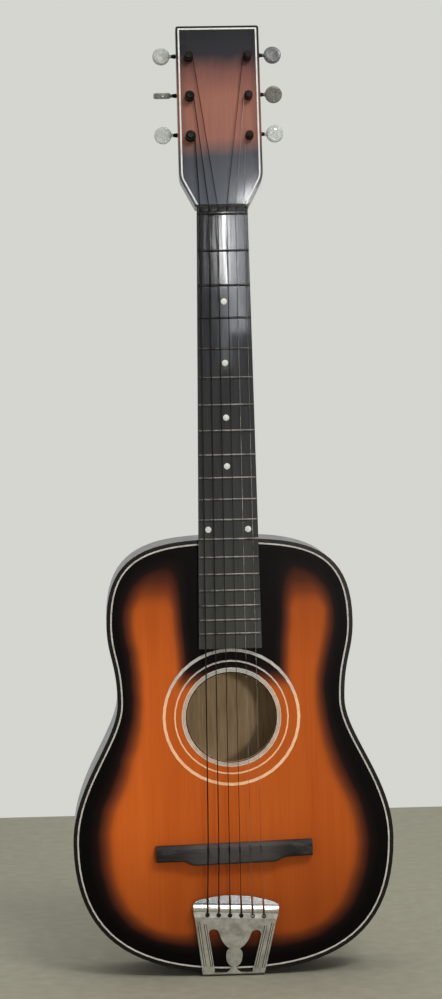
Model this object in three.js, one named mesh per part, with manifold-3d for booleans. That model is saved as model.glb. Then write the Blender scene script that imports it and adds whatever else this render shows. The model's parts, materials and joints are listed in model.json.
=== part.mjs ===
// Six-string acoustic guitar with a floating bridge, a one-piece stamped tailpiece and
// two three-on-a-plate sets of geared tuners.
//
// Millimetres. X points to the treble side, Y from the front of the body to its back, and
// Z up along the neck. Pieces are laid out from the middle of the tail edge, on the front
// face of the soundboard; the last lines move the whole guitar so that the middle of the
// bottom of its bounding box is the origin.

import * as THREE from "three";
import { mergeVertices } from "three/addons/utils/BufferGeometryUtils.js";
import Module from "manifold-3d";

const wasm = await Module();
wasm.setup();

// ---- Driving dimensions -------------------------------------------------------------

const gap = 0.3; // left between pieces that meet on a curve or on a tilted face
const fit = 0.15; // left on each side of an inlaid strip

const scaleLength = 650; // zero fret to the nominal string length
const sides = { bass: -1, treble: 1 };

const body = {
  length: 440, // tail edge to the neck joint, which is at the twelfth fret
  depth: 84,
  lower: { half: 162, z: 134 },
  waist: { half: 114.6, z: 276 },
  upper: { half: 124.2, z: 355 },
  plate: 3, // thickness of the soundboard and of the back
  rib: 2.6,
};
const binding = { width: 3.6 };
const purfling = { width: 1.5, depth: 1.4 };
const lining = { width: 6.5, depth: 10 };

const soundhole = { z: 259.5, radius: 45.2 };
const rosette = [
  { name: "rosette_inner", outer: 50.4, width: 4.2 },
  { name: "rosette_middle", outer: 57.9, width: 1.5 },
  { name: "rosette_outer", outer: 69.6, width: 3 },
];
const inlayDepth = 1.2;

const topBraces = [
  { name: "brace_upper", z: 372, height: 12 },
  { name: "brace_above_soundhole", z: 323, height: 14 },
  { name: "brace_below_soundhole", z: 196, height: 14 },
  { name: "brace_lower", z: 84, height: 12 },
];
const backBraces = [
  { name: "back_brace_upper", z: 345, height: 11 },
  { name: "back_brace_middle", z: 190, height: 11 },
  { name: "back_brace_lower", z: 92, height: 11 },
];
const brace = { width: 8, tip: 3, scallop: 34 };

const neckBlock = { half: 34, length: 42 };
const tailBlock = { half: 38, length: 18 };
const tenon = { half: 10, front: 6, back: 66, length: 22 };

const board = { nutHalf: 25.5, endHalf: 31.7, end: 329.5, thickness: 6 };
const zeroFret = body.length + scaleLength / 2;
const fretHeight = 1.2;
const nut = { start: zeroFret + 2.8, length: 4.6, top: 9.6 };
const shaft = { depth: 15, heelDepth: 79, heelLength: 62 };
const neckBar = { half: 3, depth: 9, start: body.length + 12, end: zeroFret - 8 };

const head = {
  angle: THREE.MathUtils.degToRad(12),
  base: nut.start + nut.length + gap,
  half: 42,
  nutHalf: 26.6,
  shoulder: 30,
  length: 188,
  thickness: 15,
  veneer: 1.5,
  corner: 2.5,
  lineInset: 2.2,
  lineWidth: 1.5,
};

const tuner = {
  first: 71.5, // from the nut to the lowest pair of posts
  spacing: 41.5,
  x: 29.5,
  postRadius: 3,
  postTop: 12, // above the wood of the headstock
  plate: 1,
  teeth: 14,
  pitchRadius: 6.4,
  tipRadius: 6.9,
  rootRadius: 5.5,
  gearWidth: 3,
  shaftRadius: 1.5,
  wormRoot: 2,
  wormCrest: 3.3,
  wormHalf: 4.5,
  buttonX: 56.6,
  buttonRadius: 8.75,
  buttonThickness: 6,
};
tuner.pitch = (2 * Math.PI * tuner.pitchRadius) / tuner.teeth;
tuner.wormOffset = tuner.pitchRadius + (tuner.wormRoot + tuner.wormCrest) / 2 + 0.05;
tuner.plateBack = head.thickness + gap + tuner.plate;
tuner.axisDepth = tuner.plateBack + tuner.wormCrest + 0.6;
tuner.knobAngles = { bass: [8, 106, 0], treble: [0, 28, -4] }; // degrees, from the nut up

const bridge = {
  z: 124.6,
  half: 79,
  endWidth: 16.2,
  bulge: 4.5,
  bulgeHalf: 40,
  bulgeBlend: 12,
  height: 13.4,
  crest: 3, // the strings bear this far on the soundhole side of the middle
  backSlope: 2.2, // how far the top falls towards the tail
  slant: THREE.MathUtils.degToRad(1.4), // the treble end stands nearer to the soundhole
};
const stringGap = { nut: 8.9, bridge: 10.6, tail: 11.4 };
const stringRadii = [0.67, 0.53, 0.42, 0.32, 0.22, 0.17]; // bass to treble
const twelfthFretAction = 3;

const tail = {
  sheet: 1.4,
  clearance: 0.9, // over the soundboard at the tail edge
  top: 80, // height of the upper edge in the middle
  corner: 73, // height of the upper edge at its ends
  half: 43,
  shoulderZ: 57, // where the string bar ends and the legs begin
  legOuterFoot: 31.5,
  legInnerFoot: 19,
  legInnerTop: 26.5,
  archTop: 45,
  shieldHalf: 15.5,
  neckZ: 25,
  neckHalf: 5,
  ovalZ: 15,
  ovalHalf: 8,
  ankleZ: 6.5,
  ankleHalf: 2.4,
  footHalf: 7.6,
  holeZ: 59.5,
  holeRadius: 2.5,
  slotWidth: 1.9,
  roll: { low: 62.5, high: 71.5, rise: 4.2 },
  barY: 8, // how far the string bar stands in front of the soundboard
  flange: 25,
  tilt: THREE.MathUtils.degToRad(2.6), // screwed on askew, about the middle of the row of holes
  footHeight: 4.4, // up to here the foot follows the tail edge
};
const tailScrew = { xs: [-25, 0, 25], y: 14, radius: 1.5, head: 3.4, headHeight: 1.5, length: 16 };

// ---- Finishes -----------------------------------------------------------------------

const finishes = {
  sunburst: { color: 0xa8551c, roughness: 0.3 },
  black: { color: 0x0c0a09, roughness: 0.35 },
  bareWood: { color: 0x9c7950, roughness: 0.8 },
  neckWood: { color: 0x2a1712, roughness: 0.4 },
  ebonised: { color: 0x242322, roughness: 0.55 },
  cream: { color: 0xd9cdb8, roughness: 0.5 },
  steel: { color: 0x9a9a94, roughness: 0.4, metalness: 1 },
  bronze: { color: 0x8a5a36, roughness: 0.45, metalness: 1 },
  pearl: { color: 0xb4b8b2, roughness: 0.35 },
};

// ---- Helpers ------------------------------------------------------------------------

/** The guitar as one group; the headstock's own group leans back inside it. */
const guitar = new THREE.Group();
const headstock = new THREE.Group();
headstock.position.set(0, 0, head.base);
headstock.rotation.x = -head.angle;
headstock.updateMatrix();
guitar.add(headstock);

function addPiece(parent, name, geometry, finish) {
  const mesh = new THREE.Mesh(geometry, new THREE.MeshStandardMaterial(finishes[finish]));
  mesh.name = name;
  parent.add(mesh);
  return mesh;
}

/** A closed geometry as a manifold-3d solid. */
function toSolid(geometry) {
  const bare = geometry.clone();
  bare.deleteAttribute("normal");
  bare.deleteAttribute("uv");
  const merged = mergeVertices(bare, 1e-3);
  return new wasm.Manifold(
    new wasm.Mesh({
      numProp: 3,
      vertProperties: merged.attributes.position.array,
      triVerts: new Uint32Array(merged.index.array),
    }),
  );
}

function toGeometry(solid) {
  const mesh = solid.getMesh();
  const geometry = new THREE.BufferGeometry();
  geometry.setAttribute("position", new THREE.BufferAttribute(mesh.vertProperties.slice(), 3));
  geometry.setIndex(new THREE.BufferAttribute(mesh.triVerts.slice(), 1));
  geometry.computeVertexNormals();
  return geometry;
}

function join(...geometries) {
  return toGeometry(geometries.map(toSolid).reduce((sum, next) => sum.add(next)));
}

function cut(geometry, ...tools) {
  return toGeometry(tools.map(toSolid).reduce((rest, tool) => rest.subtract(tool), toSolid(geometry)));
}

function common(first, second) {
  return toGeometry(toSolid(first).intersect(toSolid(second)));
}

/** A box between two corners. */
function block(x0, y0, z0, x1, y1, z1) {
  const geometry = new THREE.BoxGeometry(x1 - x0, y1 - y0, z1 - z0);
  return geometry.translate((x0 + x1) / 2, (y0 + y1) / 2, (z0 + z1) / 2);
}

/** A cylinder from one point to another. */
function rod(from, to, radius, segments) {
  const along = new THREE.Vector3().subVectors(to, from);
  const geometry = new THREE.CylinderGeometry(radius, radius, along.length(), segments);
  const turn = new THREE.Quaternion().setFromUnitVectors(new THREE.Vector3(0, 1, 0), along.normalize());
  const middle = new THREE.Vector3().addVectors(from, to).multiplyScalar(0.5);
  return geometry.applyQuaternion(turn).translate(middle.x, middle.y, middle.z);
}

/** A thin rod through a row of points, with its rings halving each bend. */
function bentRod(points, radius, segments = 6) {
  const rings = points.map((point, i) => {
    const before = points[Math.max(i - 1, 0)];
    const after = points[Math.min(i + 1, points.length - 1)];
    const along = new THREE.Vector3().subVectors(after, before).normalize();
    const turn = new THREE.Quaternion().setFromUnitVectors(new THREE.Vector3(0, 0, 1), along);
    return Array.from({ length: segments }, (_, j) => {
      const angle = (2 * Math.PI * j) / segments;
      const offset = new THREE.Vector3(radius * Math.cos(angle), radius * Math.sin(angle), 0);
      return offset.applyQuaternion(turn).add(point);
    });
  });
  return loft(rings);
}

/** A slab whose outline lies in the X-Z plane, from y0 back to y1. */
function slab(shape, y0, y1, curveSegments = 24) {
  const geometry = new THREE.ExtrudeGeometry(shape, { depth: y1 - y0, bevelEnabled: false, curveSegments });
  return geometry.rotateX(Math.PI / 2).translate(0, y1, 0);
}

/** A closed solid through a row of convex rings, each wound anticlockwise seen from the last one. */
function loft(rings) {
  const count = rings[0].length;
  const last = (rings.length - 1) * count;
  const index = [];
  for (let start = 0; start < last; start += count) {
    for (let i = 0; i < count; i++) {
      const a = start + i;
      const b = start + ((i + 1) % count);
      index.push(a, b, b + count, a, b + count, a + count);
    }
  }
  for (let i = 1; i + 1 < count; i++) {
    index.push(0, i + 1, i, last, last + i, last + i + 1);
  }
  const geometry = new THREE.BufferGeometry();
  geometry.setFromPoints(rings.flat());
  geometry.setIndex(index);
  geometry.computeVertexNormals();
  return geometry;
}

/** The closed anticlockwise outline moved inwards by a distance. */
function insetOutline(points, distance) {
  const normalOf = (a, b) => new THREE.Vector2(a.y - b.y, b.x - a.x).normalize();
  return points.map((point, i) => {
    const before = normalOf(points.at(i - 1), point);
    const after = normalOf(point, points[(i + 1) % points.length]);
    const mitre = before.clone().add(after);
    return point.clone().addScaledVector(mitre, (2 * distance) / mitre.lengthSq());
  });
}

/** The flat ring between two insets of an outline, from y0 back to y1. */
function ringSlab(outline, outerInset, innerInset, y0, y1) {
  const shape = new THREE.Shape(insetOutline(outline, outerInset));
  shape.holes.push(new THREE.Path(insetOutline(outline, innerInset)));
  return slab(shape, y0, y1);
}

/** A flat round ring about the soundhole. */
function roundRing(outer, inner, y0, y1) {
  const shape = new THREE.Shape().absarc(0, soundhole.z, outer, 0, 2 * Math.PI);
  shape.holes.push(new THREE.Path().absarc(0, soundhole.z, inner, 0, 2 * Math.PI));
  return slab(shape, y0, y1, 20);
}

function disc(x, z, radius, y0, y1, segments = 24) {
  return rod(new THREE.Vector3(x, y0, z), new THREE.Vector3(x, y1, z), radius, segments);
}

// ---- Body ---------------------------------------------------------------------------

/** Full body outline: up the treble side from the tail, then down the bass side. */
function bodyOutline(stepsPerCurve = 20) {
  const { length, lower, waist, upper } = body;
  const point = (x, z) => new THREE.Vector2(x, z);
  const toWaist = waist.z - lower.z;
  const toUpper = upper.z - waist.z;
  const toTop = length - upper.z;
  const curves = [
    [point(0, 0), point(0.67 * lower.half, 0), point(lower.half, 0.31 * lower.z), point(lower.half, lower.z)],
    [
      point(lower.half, lower.z),
      point(lower.half, lower.z + 0.42 * toWaist),
      point(waist.half, waist.z - 0.26 * toWaist),
      point(waist.half, waist.z),
    ],
    [
      point(waist.half, waist.z),
      point(waist.half, waist.z + 0.53 * toUpper),
      point(upper.half, upper.z - 0.4 * toUpper),
      point(upper.half, upper.z),
    ],
    [
      point(upper.half, upper.z),
      point(upper.half, upper.z + 0.9 * toTop),
      point(0.61 * upper.half, length),
      point(0, length),
    ],
  ];
  const half = curves.flatMap((controls, i) => {
    const points = new THREE.CubicBezierCurve(...controls).getPoints(stepsPerCurve);
    return i === 0 ? points : points.slice(1);
  });
  const mirrored = half.slice(1, -1).map((p) => point(-p.x, p.y));
  return [...half, ...mirrored.reverse()];
}

const outline = bodyOutline();

/** Half the width of the body at a height, less an inset. */
function halfWidthAt(z, inset) {
  const points = insetOutline(outline, inset);
  const next = points.findIndex((p) => p.y > z);
  const a = points[next - 1];
  const b = points[next];
  return THREE.MathUtils.mapLinear(z, a.y, b.y, a.x, b.x);
}

function addSoundboard() {
  const edge = binding.width + fit;
  const stepInset = edge + purfling.width + 2 * fit;
  const lowerLayer = slab(new THREE.Shape(insetOutline(outline, edge)), purfling.depth + fit, body.plate);
  const upperLayer = slab(new THREE.Shape(insetOutline(outline, stepInset)), 0, body.plate);
  const grooves = rosette.map(({ outer, width }) =>
    roundRing(outer + fit, outer - width - fit, -1, inlayDepth + fit),
  );
  const hole = disc(0, soundhole.z, soundhole.radius, -1, body.plate + 1, 48);
  addPiece(guitar, "soundboard", cut(join(lowerLayer, upperLayer), hole, ...grooves), "sunburst");
  addPiece(guitar, "edge_binding", ringSlab(outline, 0, binding.width, 0, body.plate), "black");
  addPiece(
    guitar,
    "edge_purfling",
    ringSlab(outline, edge + fit, edge + fit + purfling.width, 0, purfling.depth),
    "cream",
  );
  for (const { name, outer, width } of rosette) {
    addPiece(guitar, name, roundRing(outer, outer - width, 0, inlayDepth), "cream");
  }
}

function addBack() {
  const shape = new THREE.Shape(outline);
  addPiece(guitar, "back_plate", slab(shape, body.depth - body.plate, body.depth), "black");
}

/** Everything on one side of the middle joint. */
function sideHalf(side, away = gap / 2) {
  const reach = 400;
  const near = side * away;
  const far = side * reach;
  return block(Math.min(near, far), -reach, -reach, Math.max(near, far), reach, 2 * reach);
}

/** How far the foot of the askew tailpiece stands to the bass side. */
const tailFootShift = -tail.holeZ * Math.sin(tail.tilt);

/** Shank holes for the tail screws. */
function tailScrewHoles() {
  return tailScrew.xs.map((across) => across + tailFootShift).map((x) =>
    rod(
      new THREE.Vector3(x, tailScrew.y, -10),
      new THREE.Vector3(x, tailScrew.y, tailScrew.length + 1),
      tailScrew.radius + 0.2,
      12,
    ),
  );
}

function tenonBlock(extra) {
  return block(
    -tenon.half - extra,
    tenon.front - extra,
    body.length - tenon.length - extra,
    tenon.half + extra,
    tenon.back + extra,
    body.length + 2,
  );
}

function addRibs() {
  const front = body.plate + fit;
  const back = body.depth - body.plate - fit;
  const ring = ringSlab(outline, 0, body.rib, front, back);
  for (const [name, side] of Object.entries(sides)) {
    const half = common(ring, sideHalf(side));
    addPiece(guitar, `rib_${name}`, cut(half, tenonBlock(gap), ...tailScrewHoles()), "black");
  }
}

function addBlocks() {
  const front = body.plate + fit;
  const back = body.depth - body.plate - fit;
  const inside = slab(new THREE.Shape(insetOutline(outline, body.rib + gap)), front, back);
  const upper = block(-neckBlock.half, 0, body.length - neckBlock.length, neckBlock.half, body.depth, body.length);
  const lower = block(-tailBlock.half, 0, 0, tailBlock.half, body.depth, tailBlock.length);
  addPiece(guitar, "neck_block", cut(common(inside, upper), tenonBlock(gap)), "bareWood");
  addPiece(guitar, "tail_block", cut(common(inside, lower), ...tailScrewHoles()), "bareWood");
}

function addLinings() {
  const outer = body.rib + gap;
  const front = body.plate + fit;
  const back = body.depth - front;
  const depths = { front: [front, front + lining.depth], back: [back - lining.depth, back] };
  const clearOfBlocks = [
    block(-neckBlock.half - gap, 0, body.length - 60, neckBlock.half + gap, body.depth, body.length),
    block(-tailBlock.half - gap, 0, 0, tailBlock.half + gap, body.depth, 40),
  ];
  for (const [place, [y0, y1]] of Object.entries(depths)) {
    const ring = cut(ringSlab(outline, outer, outer + lining.width, y0, y1), ...clearOfBlocks);
    for (const [name, side] of Object.entries(sides)) {
      addPiece(guitar, `lining_${place}_${name}`, common(ring, sideHalf(side)), "bareWood");
    }
  }
}

/** A cross brace glued flat at y = 0, with its ends cut down in a curve. */
function braceGeometry({ z, height }) {
  const half = halfWidthAt(z, body.rib + lining.width + 2 * gap) - 2;
  const shape = new THREE.Shape();
  shape.moveTo(-half, 0);
  shape.lineTo(half, 0);
  shape.lineTo(half, brace.tip);
  shape.quadraticCurveTo(half - brace.scallop / 2, brace.tip, half - brace.scallop, height);
  shape.lineTo(brace.scallop - half, height);
  shape.quadraticCurveTo(brace.scallop / 2 - half, brace.tip, -half, brace.tip);
  const geometry = new THREE.ExtrudeGeometry(shape, { depth: brace.width, bevelEnabled: false, curveSegments: 4 });
  return geometry.translate(0, 0, z - brace.width / 2);
}

function addBraces() {
  for (const spec of topBraces) {
    addPiece(guitar, spec.name, braceGeometry(spec).translate(0, body.plate + fit, 0), "bareWood");
  }
  for (const spec of backBraces) {
    const flipped = braceGeometry(spec).translate(0, 0, -spec.z).rotateX(Math.PI).translate(0, 0, spec.z);
    addPiece(guitar, spec.name, flipped.translate(0, body.depth - body.plate - fit, 0), "bareWood");
  }
}

// ---- Neck ---------------------------------------------------------------------------

/** Half the width of the fingerboard at a height. */
function boardHalfAt(z) {
  return THREE.MathUtils.mapLinear(z, nut.start, board.end, board.nutHalf, board.endHalf);
}

/** A D-shaped section of the neck; towards the heel it grows deep and its back grows flat. */
function neckRing(z) {
  const heelShare = Math.max(0, 1 - (z - body.length) / shaft.heelLength) ** 2.2;
  const depth = THREE.MathUtils.lerp(shaft.depth, shaft.heelDepth, heelShare);
  const power = THREE.MathUtils.lerp(0.9, 0.55, heelShare);
  const half = boardHalfAt(z);
  const steps = 14;
  return Array.from({ length: steps + 1 }, (_, i) => {
    const angle = (Math.PI * i) / steps;
    const x = Math.sign(Math.cos(angle)) * Math.abs(Math.cos(angle)) ** power;
    return new THREE.Vector3(half * x, depth * Math.sin(angle), z);
  });
}

/** The headstock's outline, which runs on below the nut so that inset lines end square there. */
function headOutline(corner = 0) {
  const below = 12;
  const slope = (head.half - head.nutHalf) / head.shoulder;
  const shape = new THREE.Shape();
  shape.moveTo(head.nutHalf - below * slope, -below);
  shape.lineTo(head.half - 4 * slope, head.shoulder - 4);
  shape.quadraticCurveTo(head.half, head.shoulder, head.half, head.shoulder + 7);
  if (corner > 0) {
    shape.lineTo(head.half, head.length - corner);
    shape.quadraticCurveTo(head.half, head.length, head.half - corner, head.length);
  } else {
    shape.lineTo(head.half, head.length);
  }
  const treble = shape.getPoints(4);
  const bass = treble.map((p) => new THREE.Vector2(-p.x, p.y)).reverse();
  return [...treble, ...bass];
}

/** The part of the headstock's frame above the nut. */
function aboveNut(away) {
  return block(-200, -200, away, 200, 200, 400);
}

function postHeight(number) {
  return tuner.first + (number - 1) * tuner.spacing;
}

function postHoles(radius) {
  return Object.values(sides).flatMap((side) =>
    [1, 2, 3].map((number) => disc(side * tuner.x, postHeight(number), radius, -20, 40, 12)),
  );
}

function addNeck() {
  const { heelLength } = shaft;
  const heelRings = [0, 0.08, 0.18, 0.3, 0.43, 0.57, 0.72, 0.87, 1].map((share) =>
    neckRing(body.length + gap + share * heelLength),
  );
  const profile = loft([...heelRings, neckRing(head.base)]);
  const headBlank = cut(
    common(slab(new THREE.Shape(headOutline(head.corner)), 0, head.thickness), aboveNut(0)),
    ...postHoles(tuner.postRadius + 0.4),
  ).applyMatrix4(headstock.matrix);
  const barSlot = block(
    -neckBar.half - fit,
    -1,
    neckBar.start - fit,
    neckBar.half + fit,
    neckBar.depth + fit,
    neckBar.end + fit,
  );
  addPiece(guitar, "neck", cut(join(profile, tenonBlock(0), headBlank), barSlot), "neckWood");
  const bar = block(-neckBar.half, 0, neckBar.start, neckBar.half, neckBar.depth, neckBar.end);
  addPiece(guitar, "neck_bar", bar, "steel");
}

/** Centre lines of the six strings across the neck at a given spacing. */
function stringXs(spacing) {
  return stringRadii.map((_, i) => (i - 2.5) * spacing);
}

function addFingerboard() {
  const top = nut.start - fit;
  const shape = new THREE.Shape();
  shape.moveTo(-board.endHalf, board.end);
  shape.lineTo(board.endHalf, board.end);
  shape.lineTo(boardHalfAt(top), top);
  shape.lineTo(-boardHalfAt(top), top);
  addPiece(guitar, "fingerboard", slab(shape, -fit - board.thickness, -fit), "ebonised");
}

function addNut() {
  const floor = board.thickness + fit + fretHeight - 0.5;
  const end = nut.start + nut.length;
  const blank = block(-board.nutHalf, -nut.top, nut.start, board.nutHalf, -fit, end);
  const slots = stringXs(stringGap.nut).map((x, i) => {
    const half = stringRadii[i] + 0.25;
    return block(x - half, -nut.top - 1, nut.start - 1, x + half, -floor, end + 1);
  });
  addPiece(guitar, "nut", cut(blank, ...slots), "ebonised");
}

function addHeadstockFace() {
  const points = headOutline();
  const front = -gap - head.veneer;
  const lineDepth = 0.8;
  const { lineInset, lineWidth } = head;
  const plate = cut(
    slab(new THREE.Shape(headOutline(head.corner)), front, -gap),
    ringSlab(points, lineInset - fit, lineInset + lineWidth + fit, front - 1, front + lineDepth + fit),
    ...postHoles(tuner.postRadius + 0.6),
  );
  const line = ringSlab(points, lineInset, lineInset + lineWidth, front, front + lineDepth);
  const base = aboveNut(2);
  addPiece(headstock, "headstock_veneer", common(plate, base), "black");
  addPiece(headstock, "headstock_line", common(line, base), "cream");
}

// ---- Tuners -------------------------------------------------------------------------

/** The strip that carries one side's three tuners, with two ears for each worm. */
function addTunerPlate(name, side) {
  const { x, plateBack, plate, wormOffset, axisDepth, shaftRadius } = tuner;
  const front = plateBack - plate;
  const inner = x - 9;
  const outer = head.half - 1.5;
  const low = tuner.first - 13;
  const high = postHeight(3) + 22;
  const corner = 4;
  const shape = new THREE.Shape();
  shape.moveTo(inner + corner, low);
  shape.lineTo(outer - corner, low);
  shape.quadraticCurveTo(outer, low, outer, low + corner);
  shape.lineTo(outer, high - corner);
  shape.quadraticCurveTo(outer, high, outer - corner, high);
  shape.lineTo(inner + corner, high);
  shape.quadraticCurveTo(inner, high, inner, high - corner);
  shape.lineTo(inner, low + corner);
  shape.quadraticCurveTo(inner, low, inner + corner, low);
  let geometry = slab(shape, front, plateBack, 3);
  for (const number of [1, 2, 3]) {
    const axis = postHeight(number) + wormOffset;
    for (const earX of [x - 6, x + 6]) {
      const ear = block(earX - 0.6, plateBack - 0.5, axis - 3, earX + 0.6, axisDepth + 3, axis + 3);
      geometry = join(geometry, ear);
    }
    const bearing = rod(
      new THREE.Vector3(x - 9, axisDepth, axis),
      new THREE.Vector3(x + 9, axisDepth, axis),
      shaftRadius + 0.3,
      10,
    );
    const hole = disc(x, postHeight(number), tuner.postRadius + 0.4, 0, 30, 12);
    geometry = cut(geometry, bearing, hole);
  }
  const mesh = addPiece(headstock, `tuner_plate_${name}`, geometry, "steel");
  mesh.scale.x = side;
}

/** A right-handed worm thread along X, with a crest towards the gear at its middle. */
function wormThread() {
  const stepsPerTurn = 9;
  const { pitch, wormRoot, wormCrest, wormHalf } = tuner;
  const steps = Math.round((2 * wormHalf * stepsPerTurn) / pitch);
  const buried = wormRoot - 0.5;
  const corners = [
    [buried, 0.65],
    [wormCrest, 0.3],
    [wormCrest, -0.3],
    [buried, -0.65],
  ];
  const rings = Array.from({ length: steps + 1 }, (_, i) => {
    const turns = (i - steps / 2) / stepsPerTurn;
    const angle = 2 * Math.PI * turns - Math.PI / 2;
    return corners.map(([radius, along]) => {
      const x = pitch * turns + along;
      return new THREE.Vector3(x, radius * Math.cos(angle), radius * Math.sin(angle));
    });
  });
  return loft(rings);
}

/** The steel shaft with its worm, along X about the axis, with the gear's centre at x = 0. */
function wormShaft(side) {
  const { shaftRadius, wormRoot, wormHalf, x, buttonX, buttonRadius } = tuner;
  const collarStart = buttonX - buttonRadius - 1.5 - x;
  const inner = -side * 8;
  const outer = side * (collarStart - gap);
  const thin = rod(new THREE.Vector3(inner, 0, 0), new THREE.Vector3(outer, 0, 0), shaftRadius, 9);
  const thick = rod(
    new THREE.Vector3(-wormHalf - 0.5, 0, 0),
    new THREE.Vector3(wormHalf + 0.5, 0, 0),
    wormRoot,
    9,
  );
  return join(thin, thick, wormThread());
}

/** A flat round button with a rounded rim, and the collar that grips the shaft. */
function knobGeometry(side) {
  const { buttonRadius, buttonThickness } = tuner;
  const half = buttonThickness / 2;
  const rim = 2;
  const profile = [new THREE.Vector2(0, -half)];
  for (let i = 0; i <= 3; i++) {
    const angle = (Math.PI / 2) * (i / 3 - 1);
    profile.push(
      new THREE.Vector2(buttonRadius - rim + rim * Math.cos(angle), -half + rim + rim * Math.sin(angle)),
    );
  }
  const mirrored = profile.map((p) => new THREE.Vector2(p.x, -p.y)).reverse();
  const button = new THREE.LatheGeometry([...profile, ...mirrored], 20);
  const collar = rod(
    new THREE.Vector3(-side * (buttonRadius + 1.5), 0, 0),
    new THREE.Vector3(-side * (buttonRadius - 3), 0, 0),
    2.6,
    8,
  );
  return join(button, collar);
}

/** The string post with its gear, along Y, with a tooth gap towards the worm. */
function postGeometry() {
  const { teeth, tipRadius, rootRadius, gearWidth, postRadius, postTop, axisDepth } = tuner;
  const shape = new THREE.Shape();
  const toothPoints = [
    [-0.36, rootRadius],
    [-0.13, tipRadius],
    [0.13, tipRadius],
    [0.36, rootRadius],
  ];
  for (let tooth = 0; tooth < teeth; tooth++) {
    for (const [share, radius] of toothPoints) {
      const angle = Math.PI / 2 + ((tooth + 0.5 + share * 0.72) * 2 * Math.PI) / teeth;
      const x = radius * Math.cos(angle);
      const z = radius * Math.sin(angle);
      if (tooth === 0 && share < -0.3) shape.moveTo(x, z);
      else shape.lineTo(x, z);
    }
  }
  const gear = slab(shape, axisDepth - gearWidth / 2, axisDepth + gearWidth / 2);
  const post = disc(0, 0, postRadius, -postTop, axisDepth, 12);
  const waistCut = roundedGroove(postRadius);
  const boss = disc(0, 0, 2.6, axisDepth, axisDepth + gearWidth / 2 + 1.4, 8);
  return join(cut(post, waistCut), gear, boss);
}

/** The shallow groove round the post where the string lies. */
function roundedGroove(radius) {
  const centre = -5.2 - gap - head.veneer + 1.5;
  const profile = [
    [radius - 0.6, centre - 1.2],
    [radius + 1, centre - 2.4],
    [radius + 1, centre + 2.4],
    [radius - 0.6, centre + 1.2],
    [radius - 0.6, centre - 1.2],
  ].map(([x, y]) => new THREE.Vector2(x, y));
  return new THREE.LatheGeometry(profile, 12);
}

function addTuners() {
  for (const [name, side] of Object.entries(sides)) {
    addTunerPlate(name, side);
    for (const number of [1, 2, 3]) {
      const label = `${name}_${number}`;
      const z = postHeight(number);
      const wormZ = z + tuner.wormOffset;
      const knob = addPiece(headstock, `tuner_knob_${label}`, knobGeometry(side), "pearl");
      knob.position.set(side * tuner.buttonX, tuner.axisDepth, wormZ);
      knob.rotation.x = THREE.MathUtils.degToRad(tuner.knobAngles[name][number - 1]);
      const worm = addPiece(headstock, `tuner_worm_${label}`, wormShaft(side), "steel");
      worm.position.set(side * tuner.x, tuner.axisDepth, wormZ);
      const post = addPiece(headstock, `tuner_post_${label}`, postGeometry(), "steel");
      post.position.set(side * tuner.x, 0, z);
    }
  }
}

// ---- Bridge, tailpiece and strings --------------------------------------------------

/** Where the underside of the strings lies in front of the soundboard at a height. */
function stringFloorAt(z) {
  const atZeroFret = board.thickness + fit + fretHeight;
  const rise = twelfthFretAction / (scaleLength / 2);
  return atZeroFret + (zeroFret - z) * rise;
}

/** The bridge's width at a distance from its middle: it bulges towards the tail. */
function bridgeBulgeAt(x) {
  const share = THREE.MathUtils.smoothstep(Math.abs(x), bridge.bulgeHalf, bridge.bulgeHalf + bridge.bulgeBlend);
  return bridge.bulge * (1 - share);
}

/** Height at which a string at x crosses the slanted crest of the bridge. */
function bridgeCrestAt(x) {
  return bridge.z + bridge.crest + x * Math.tan(bridge.slant);
}

function addBridge() {
  const { half, endWidth, height, backSlope, slant } = bridge;
  const upper = endWidth / 2;
  const chamfer = 3;
  const stations = [-half, -52, -49, -46, -43, -40, 40, 43, 46, 49, 52, half];
  const rings = stations.map((x) => {
    const lower = -upper - bridgeBulgeAt(x);
    const tallness = Math.abs(x) === half ? height - 2.5 : height;
    return [
      [0, lower],
      [0, upper],
      [-tallness + chamfer, upper],
      [-tallness, upper - chamfer],
      [-tallness, 1],
      [-tallness + backSlope, lower + 2],
      [-tallness + backSlope + 2.5, lower],
    ].map(([y, z]) => new THREE.Vector3(x, y, z));
  });
  const notches = stringXs(stringGap.bridge).map((x, i) => {
    const reach = stringRadii[i] + 0.35;
    return block(x - reach, -height - 2, -30, x + reach, 2 * gap - stringFloorAt(bridgeCrestAt(x)), 30);
  });
  const mesh = addPiece(guitar, "bridge", cut(loft(rings), ...notches), "ebonised");
  mesh.rotation.y = -slant;
  mesh.position.set(0, -fit, bridge.z);
}

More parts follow.
